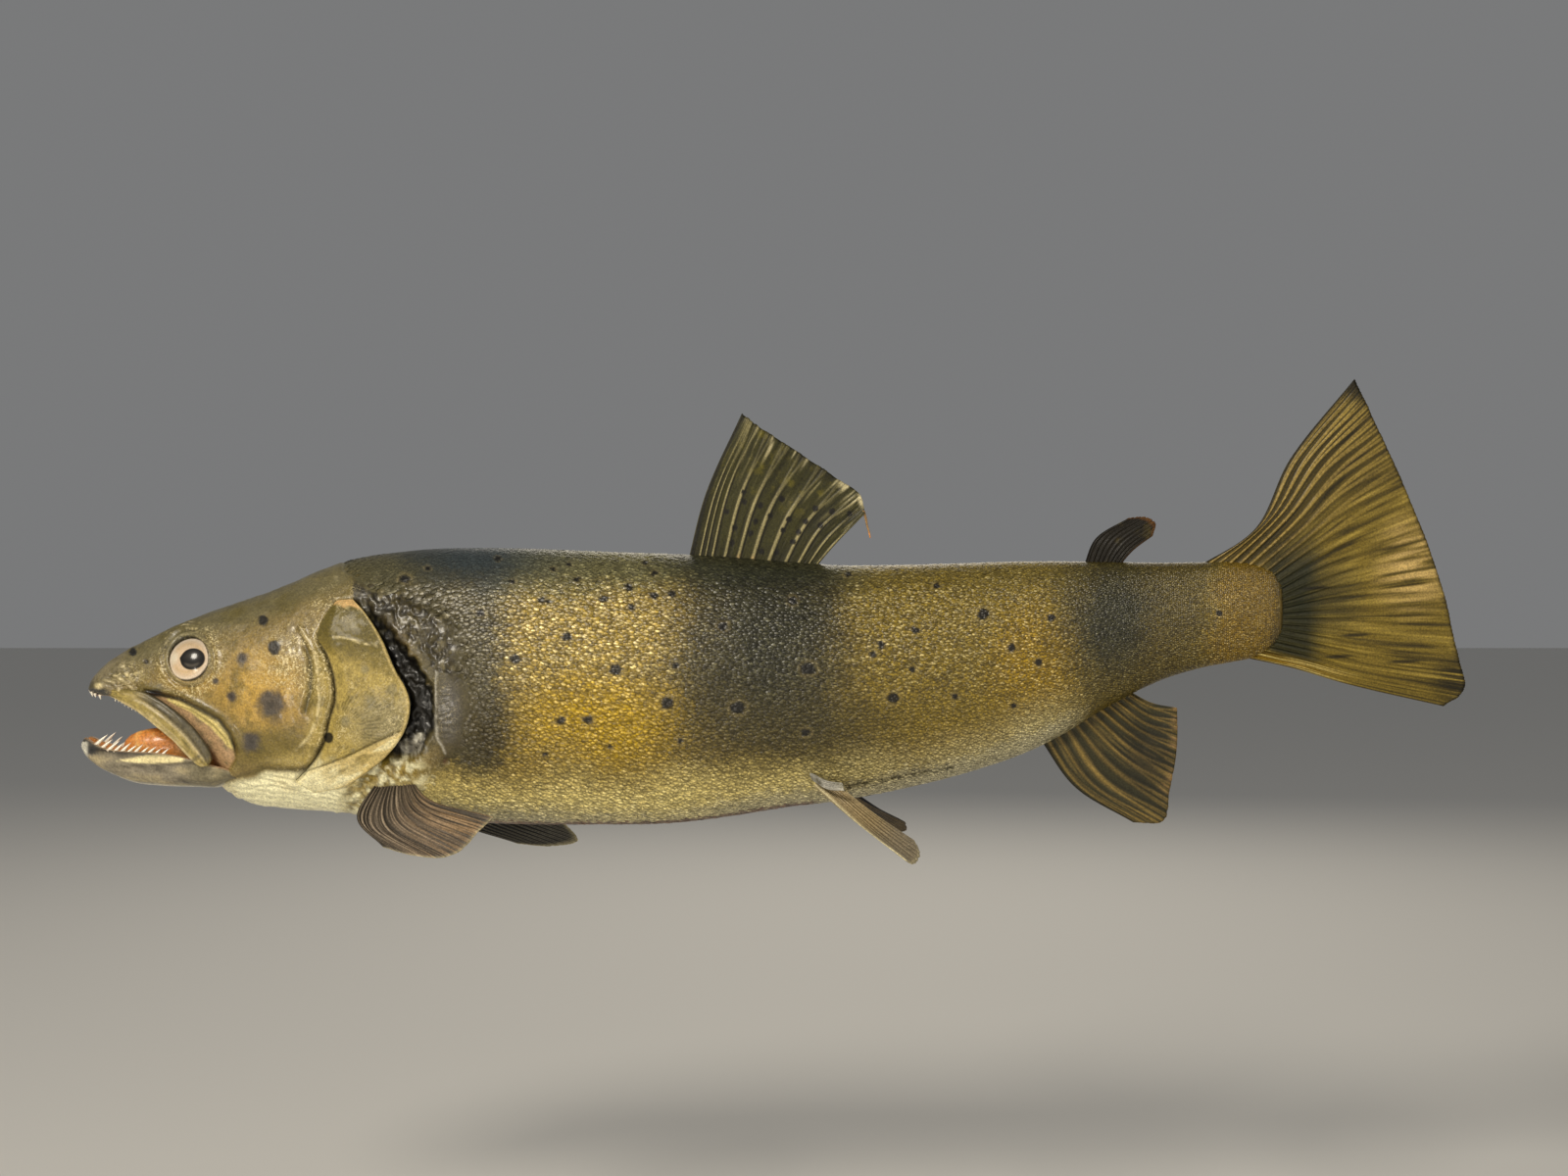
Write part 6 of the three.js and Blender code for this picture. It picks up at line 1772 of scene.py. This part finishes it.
def dorsal_paint(at):
    colour = plain_paint(at, "fin_olive")
    colour = lay(colour, "fin_dark", 0.5 * smooth(0.0, 0.7, at.wide) + 0.35 * smooth(0.1, 0.7, -at.streak))
    colour = lay(colour, "yellow_olive", 0.5 * smooth(0.45, 0.65, at.t) * smooth(0.1, 0.6, at.fine) * (at.s < 0.7))
    colour = lay(colour, "fin_ray", 0.5 * smooth(0.45, 0.9, at.t) * smooth(0.0, 0.6, at.streak))
    fading = 1 - 0.75 * smooth(0.45, 0.8, at.t)
    colour = lay(colour, "fin_dark", 0.9 * smooth(0.2, 0.8, at.shade) * fading)
    colour = lay(colour, "fin_ray", smooth(0.1, 0.8, at.ridge) * fading)
    colour = lay(colour, "orange_edge", 0.7 * at.ridge * (1 - smooth(0.03, 0.12, at.t)) * between(at.s, 0.33, 0.5, 0.04))
    colour = lay(colour, "fin_dark", 0.85 * (1 - smooth(0.02, 0.05, at.s)))
    top_edge = smooth(0.84, 1, at.t + 0.08 * at.streak) * between(at.s, 0.25, 0.8, 0.1)
    colour = lay(colour, "pale_edge", 0.6 * top_edge * smooth(0.0, 0.5, at.streak))
    colour = lay(colour, "fin_dark", 0.7 * top_edge * smooth(0.0, 0.5, -at.streak))
    colour = lay(colour, "fin_dark", 0.6 * smooth(0.975, 1, at.t))
    colour = lay(colour, "pale_edge", 0.8 * oval(at.x, at.z, (121.5, 86), (4, 5.5), 0.5))
    for sx, sz, radius in DORSAL_SPOTS:
        d = np.hypot(at.x - sx, at.z - sz) + 0.15 * at.fine
        colour = lay(colour, "spot", 0.97 * (1 - smooth(radius * 1.05, radius * 1.4, d)))
    return colour


def adipose_paint(at):
    colour = plain_paint(at, "adipose")
    colour = lay(colour, "stalk", 0.7 * smooth(0.1, 0.7, at.fine))
    colour = lay(colour, "adipose_edge", 0.8 * smooth(0.93, 0.99, at.t + 0.05 * at.fine) + 0.5 * smooth(0.93, 1, at.s))
    return lay(colour, "belly_low", 0.35 * (1 - smooth(0.3, 0.45, at.t)) * smooth(0, 0.4, at.fine))


def caudal_paint(at):
    colour = plain_paint(at, "caudal")
    colour = lay(colour, "caudal_ray", 0.2 * at.ridge + 0.6 * smooth(0.0, 0.6, at.streak))
    colour = lay(colour, "fin_dark", 0.5 * smooth(0.15, 0.65, -at.streak) + 0.3 * at.shade)
    pale = oval(at.x + 4 * at.wide, at.z + 4 * at.wide, (402, 52), (20, 26), 0.8)
    colour = lay(colour, "caudal_pale", 0.8 * pale * smooth(-0.5, 0.3, at.streak))
    dark_base = between(at.x + 3 * at.wide, 324, 352, 7) * between(at.z, -4, 62, 14)
    colour = lay(colour, "band", 0.9 * dark_base)
    colour = lay(colour, "band", 0.6 * oval(at.x + 3 * at.wide, at.z + 5 * at.wide, (358, 34), (20, 22), 0.8))
    for sx, sz, half_length in ((372, 16, 9), (397, 2.5, 11), (363, 5, 9), (352, 40, 10)):
        colour = lay(colour, "fin_dark", 0.8 * oval(at.x, at.z - 0.05 * (at.x - sx), (sx, sz), (half_length, 1.1), 0.6))
    front = 1 - smooth(0.12, 0.4, at.s)
    joints = np.sin(at.t * 280 + 5 * at.fine)
    colour = lay(colour, "fin_dark", 0.7 * front * (1 - smooth(0.1, 0.6, at.ridge)))
    colour = lay(colour, "caudal_pale", (0.45 + 0.2 * joints) * front * smooth(0.2, 0.7, at.ridge) * (1 - 0.7 * at.t))
    lower = smooth(0.86, 0.95, at.s) * (1 - smooth(0.3, 0.75, at.t))
    colour = lay(colour, "stalk_gold", 0.9 * lower)
    colour = lay(colour, "belly", 0.8 * lower * smooth(0.0, 0.5, at.streak))
    colour = lay(colour, "fin_dark", 0.75 * smooth(0.978, 1, at.t + 0.01 * at.fine))
    colour = lay(colour, "fin_dark", 0.8 * (1 - smooth(0, 0.025, at.s)) + 0.8 * smooth(0.983, 1, at.s))
    colour = lay(colour, "fin_dark", 0.85 * oval(at.x, at.z, (373, 144), (9, 12), 0.6))
    corner = oval(at.x + 2 * at.wide, at.z, (424, -8), (15, 15), 0.7)
    return lay(colour, "fin_dark", 0.85 * corner * smooth(-0.6, 0.1, -at.streak))


def anal_paint(at):
    colour = plain_paint(at, "anal")
    colour = lay(colour, "anal_ray", 0.7 * at.ridge * (1 - 0.3 * at.t) + 0.3 * smooth(0, 0.6, at.streak))
    colour = lay(colour, "fin_dark", 0.5 * at.shade)
    colour = lay(colour, "fin_dark", 0.6 * oval(at.x + 3 * at.wide, at.z + 3 * at.wide, (265, -44), (14, 22), 0.8))
    colour = lay(colour, "fin_dark", 0.8 * (1 - smooth(0, 0.04, at.s)))
    edge = smooth(0.86, 0.98, at.t + 0.06 * at.fine) * smooth(0.25, 0.5, at.s)
    return lay(colour, "pectoral_tan", 0.5 * edge * smooth(-0.3, 0.4, at.streak))


def pectoral_paint(at):
    colour = plain_paint(at, "pectoral")
    near = 1 - smooth(0.35, 0.7, 0.6 * at.s + 0.6 * at.t)
    colour = lay(colour, "pectoral_ray", (0.25 + 0.5 * near) * at.ridge + 0.5 * smooth(0, 0.6, at.streak))
    colour = lay(colour, "fin_dark", 0.75 * at.shade * near + 0.4 * smooth(0.1, 0.6, -at.streak))
    colour = lay(colour, "fin_dark", 0.5 * (1 - smooth(0.0, 0.3, at.t)))
    toward_tip = smooth(0.4, 0.9, 0.5 * at.s + 0.5 * at.t + 0.1 * at.wide)
    colour = lay(colour, "pectoral_tan", 0.55 * toward_tip * smooth(-0.4, 0.3, at.streak))
    colour = lay(colour, "fin_dark", 0.6 * (1 - smooth(0, 0.07, at.s)))
    return lay(colour, "pale_edge", 0.45 * smooth(0.975, 1, at.t))


def right_pectoral_paint(at):
    colour = plain_paint(at, "right_pectoral")
    colour = lay(colour, "scrap", 0.5 * smooth(0.3, 0.9, at.ridge) * smooth(0.05, 0.5, at.t))
    colour = lay(colour, "fin_dark", 0.7 * at.shade)
    return lay(colour, "pale_edge", 0.5 * smooth(0.96, 1, at.t))


def pelvic_paint(at):
    colour = plain_paint(at, "pelvic")
    colour = lay(colour, "pale_edge", 0.3 * at.ridge)
    colour = lay(colour, "pelvic_grey", 0.7 * smooth(0.45, 0.9, at.t + 0.1 * at.wide))
    colour = lay(colour, "fin_dark", 0.5 * at.shade)
    return lay(colour, "pale_edge", 0.8 * (1 - smooth(0, 0.05, at.s)) + 0.5 * smooth(0.95, 1, at.t))


def dark_pelvic_paint(at):
    colour = plain_paint(at, "right_pectoral")
    return lay(colour, "pelvic", 0.5 * at.ridge)


def axillary_paint(at):
    colour = plain_paint(at, "axillary")
    colour = lay(colour, "shoulder_grey", 0.8 * smooth(-0.2, 0.4, at.fine))
    return lay(colour, "jaw_white", 0.4 * smooth(0.7, 1, at.t))


def torn_ray():
    """A dried ray that hangs from the torn rear corner of the dorsal fin."""
    line = np.array([(120.5, 1, 79.5), (121.6, 1.2, 76), (122.4, 1.5, 72), (123.4, 1.6, 68.5), (124, 1.4, 65.5)])
    rows, count = 24, 10
    path = spline(line[None], np.linspace(0, 1, rows)[None])[0]
    path[:, 1] += middle(path[:, 0])
    turn = np.arange(count) * 2 * math.pi / count
    radius = (0.75 - 0.45 * np.linspace(0, 1, rows))[:, None]
    twist = np.stack([np.cos(turn)[None] * radius, 0.5 * np.sin(turn)[None] * radius, 0 * radius * turn[None]], -1)
    points, quads, triangles = loft_mesh(path[:, None] + twist)
    colour = np.tile(COLOUR["pectoral_tan"], (len(points), 1))
    colour = lay(colour, "lining", smooth(-70, -67, -points[:, 2]))
    new_piece("dorsal_torn_ray", points, quads, triangles, opaque(colour), FIN, [])


FIN_PAINTS = {
    "dorsal_fin": dorsal_paint,
    "adipose_fin": adipose_paint,
    "caudal_fin": caudal_paint,
    "anal_fin": anal_paint,
    "pectoral_fin_left": pectoral_paint,
    "pectoral_fin_right": right_pectoral_paint,
    "pelvic_fin_left": pelvic_paint,
    "pelvic_fin_right": dark_pelvic_paint,
    "pelvic_scale_left": axillary_paint,
    "pelvic_scale_right": axillary_paint,
}

# ---- Hanging block --------------------------------------------------------------------------------------------------


def keep_cad_node(name, material, edge_mm):
    """A node whose own shape is right: it gets its material, and its edges are eased."""
    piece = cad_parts[name]
    piece.data.materials.clear()
    piece.data.materials.append(material)
    eased = piece.modifiers.new("eased edges", "BEVEL")
    eased.width = edge_mm * MM
    eased.segments = 2
    eased.limit_method = "ANGLE"


# ---- Stage ----------------------------------------------------------------------------------------------------------

FLOOR_BELOW = 0.24  # metres from the lowest fin down to the floor


def stage():
    """A pale floor, a pale surround, a soft key light from the upper left, and weaker ones to fill in."""
    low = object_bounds()[0].z - FLOOR_BELOW
    reach = 12.0
    mesh = bpy.data.meshes.new("floor")
    mesh.from_pydata([(-reach, -reach, low), (reach, -reach, low), (reach, reach, low), (-reach, reach, low)], [], [(0, 1, 2, 3)])
    mesh.materials.append(floor_paint())
    floor = bpy.data.objects.new("floor", mesh)
    bpy.context.scene.collection.objects.link(floor)
    floor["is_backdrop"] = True
    world = bpy.data.worlds.new("studio")
    world.use_nodes = True
    world.node_tree.nodes["Background"].inputs["Color"].default_value = (*linear("#f0f1f2"), 1)
    world.node_tree.nodes["Background"].inputs["Strength"].default_value = 0.22
    bpy.context.scene.world = world
    bpy.context.scene.view_settings.view_transform = "Standard"
    for name, place, size, power in (
        ("key", (-0.75, -1.7, 1.25), 0.6, 32),
        ("fill", (1.3, -1.8, 0.4), 1.4, 7),
        ("low", (-0.45, -1.6, -0.14), 0.32, 5),
        ("rear", (0.3, 1.8, 1.2), 1.4, 12),
    ):
        light = bpy.data.lights.new(name, "AREA")
        light.shape = "DISK"
        light.size = size
        light.energy = power
        light.color = linear("#fff6e6")
        lamp = bpy.data.objects.new(name, light)
        lamp.location = place
        lamp.rotation_mode = "QUATERNION"
        lamp.rotation_quaternion = (Vector((0.05, -0.05, 0.02)) - Vector(place)).to_track_quat("-Z", "Y")
        bpy.context.scene.collection.objects.link(lamp)


def camera():
    """Straight on to the left flank, at the layout's own viewing point."""
    data = bpy.data.cameras.new("camera")
    data.lens = 48
    data.sensor_width = 36
    data.clip_start = 0.05
    made = bpy.data.objects.new("camera", data)
    made.location = (LAYOUT_EYE["x"] * MM, (MID_PLANE - LAYOUT_EYE["distance"]) * MM, LAYOUT_EYE["z"] * MM)
    made.rotation_euler = (math.pi / 2, 0, 0)
    bpy.context.scene.collection.objects.link(made)
    bpy.context.scene.camera = made


# ---- The fish -------------------------------------------------------------------------------------------------------

camera()
skin()
scales()
for side, hand in ((-1, "left"), (1, "right")):
    gill_cover(side, "gill_cover_" + hand)
    upper_jaw(side, "upper_jaw_" + hand)
    eye(side, "eye_" + hand)
lower_jaw()
teeth()
tongue()
for fin_name, fin_spec in FINS.items():
    fin(fin_name, fin_spec, FIN_PAINTS[fin_name])
torn_ray()
keep_cad_node("hanging_block", pine(), 0.8)
keep_cad_node("hanger_strip", zinc_steel(), 0.2)
stage()
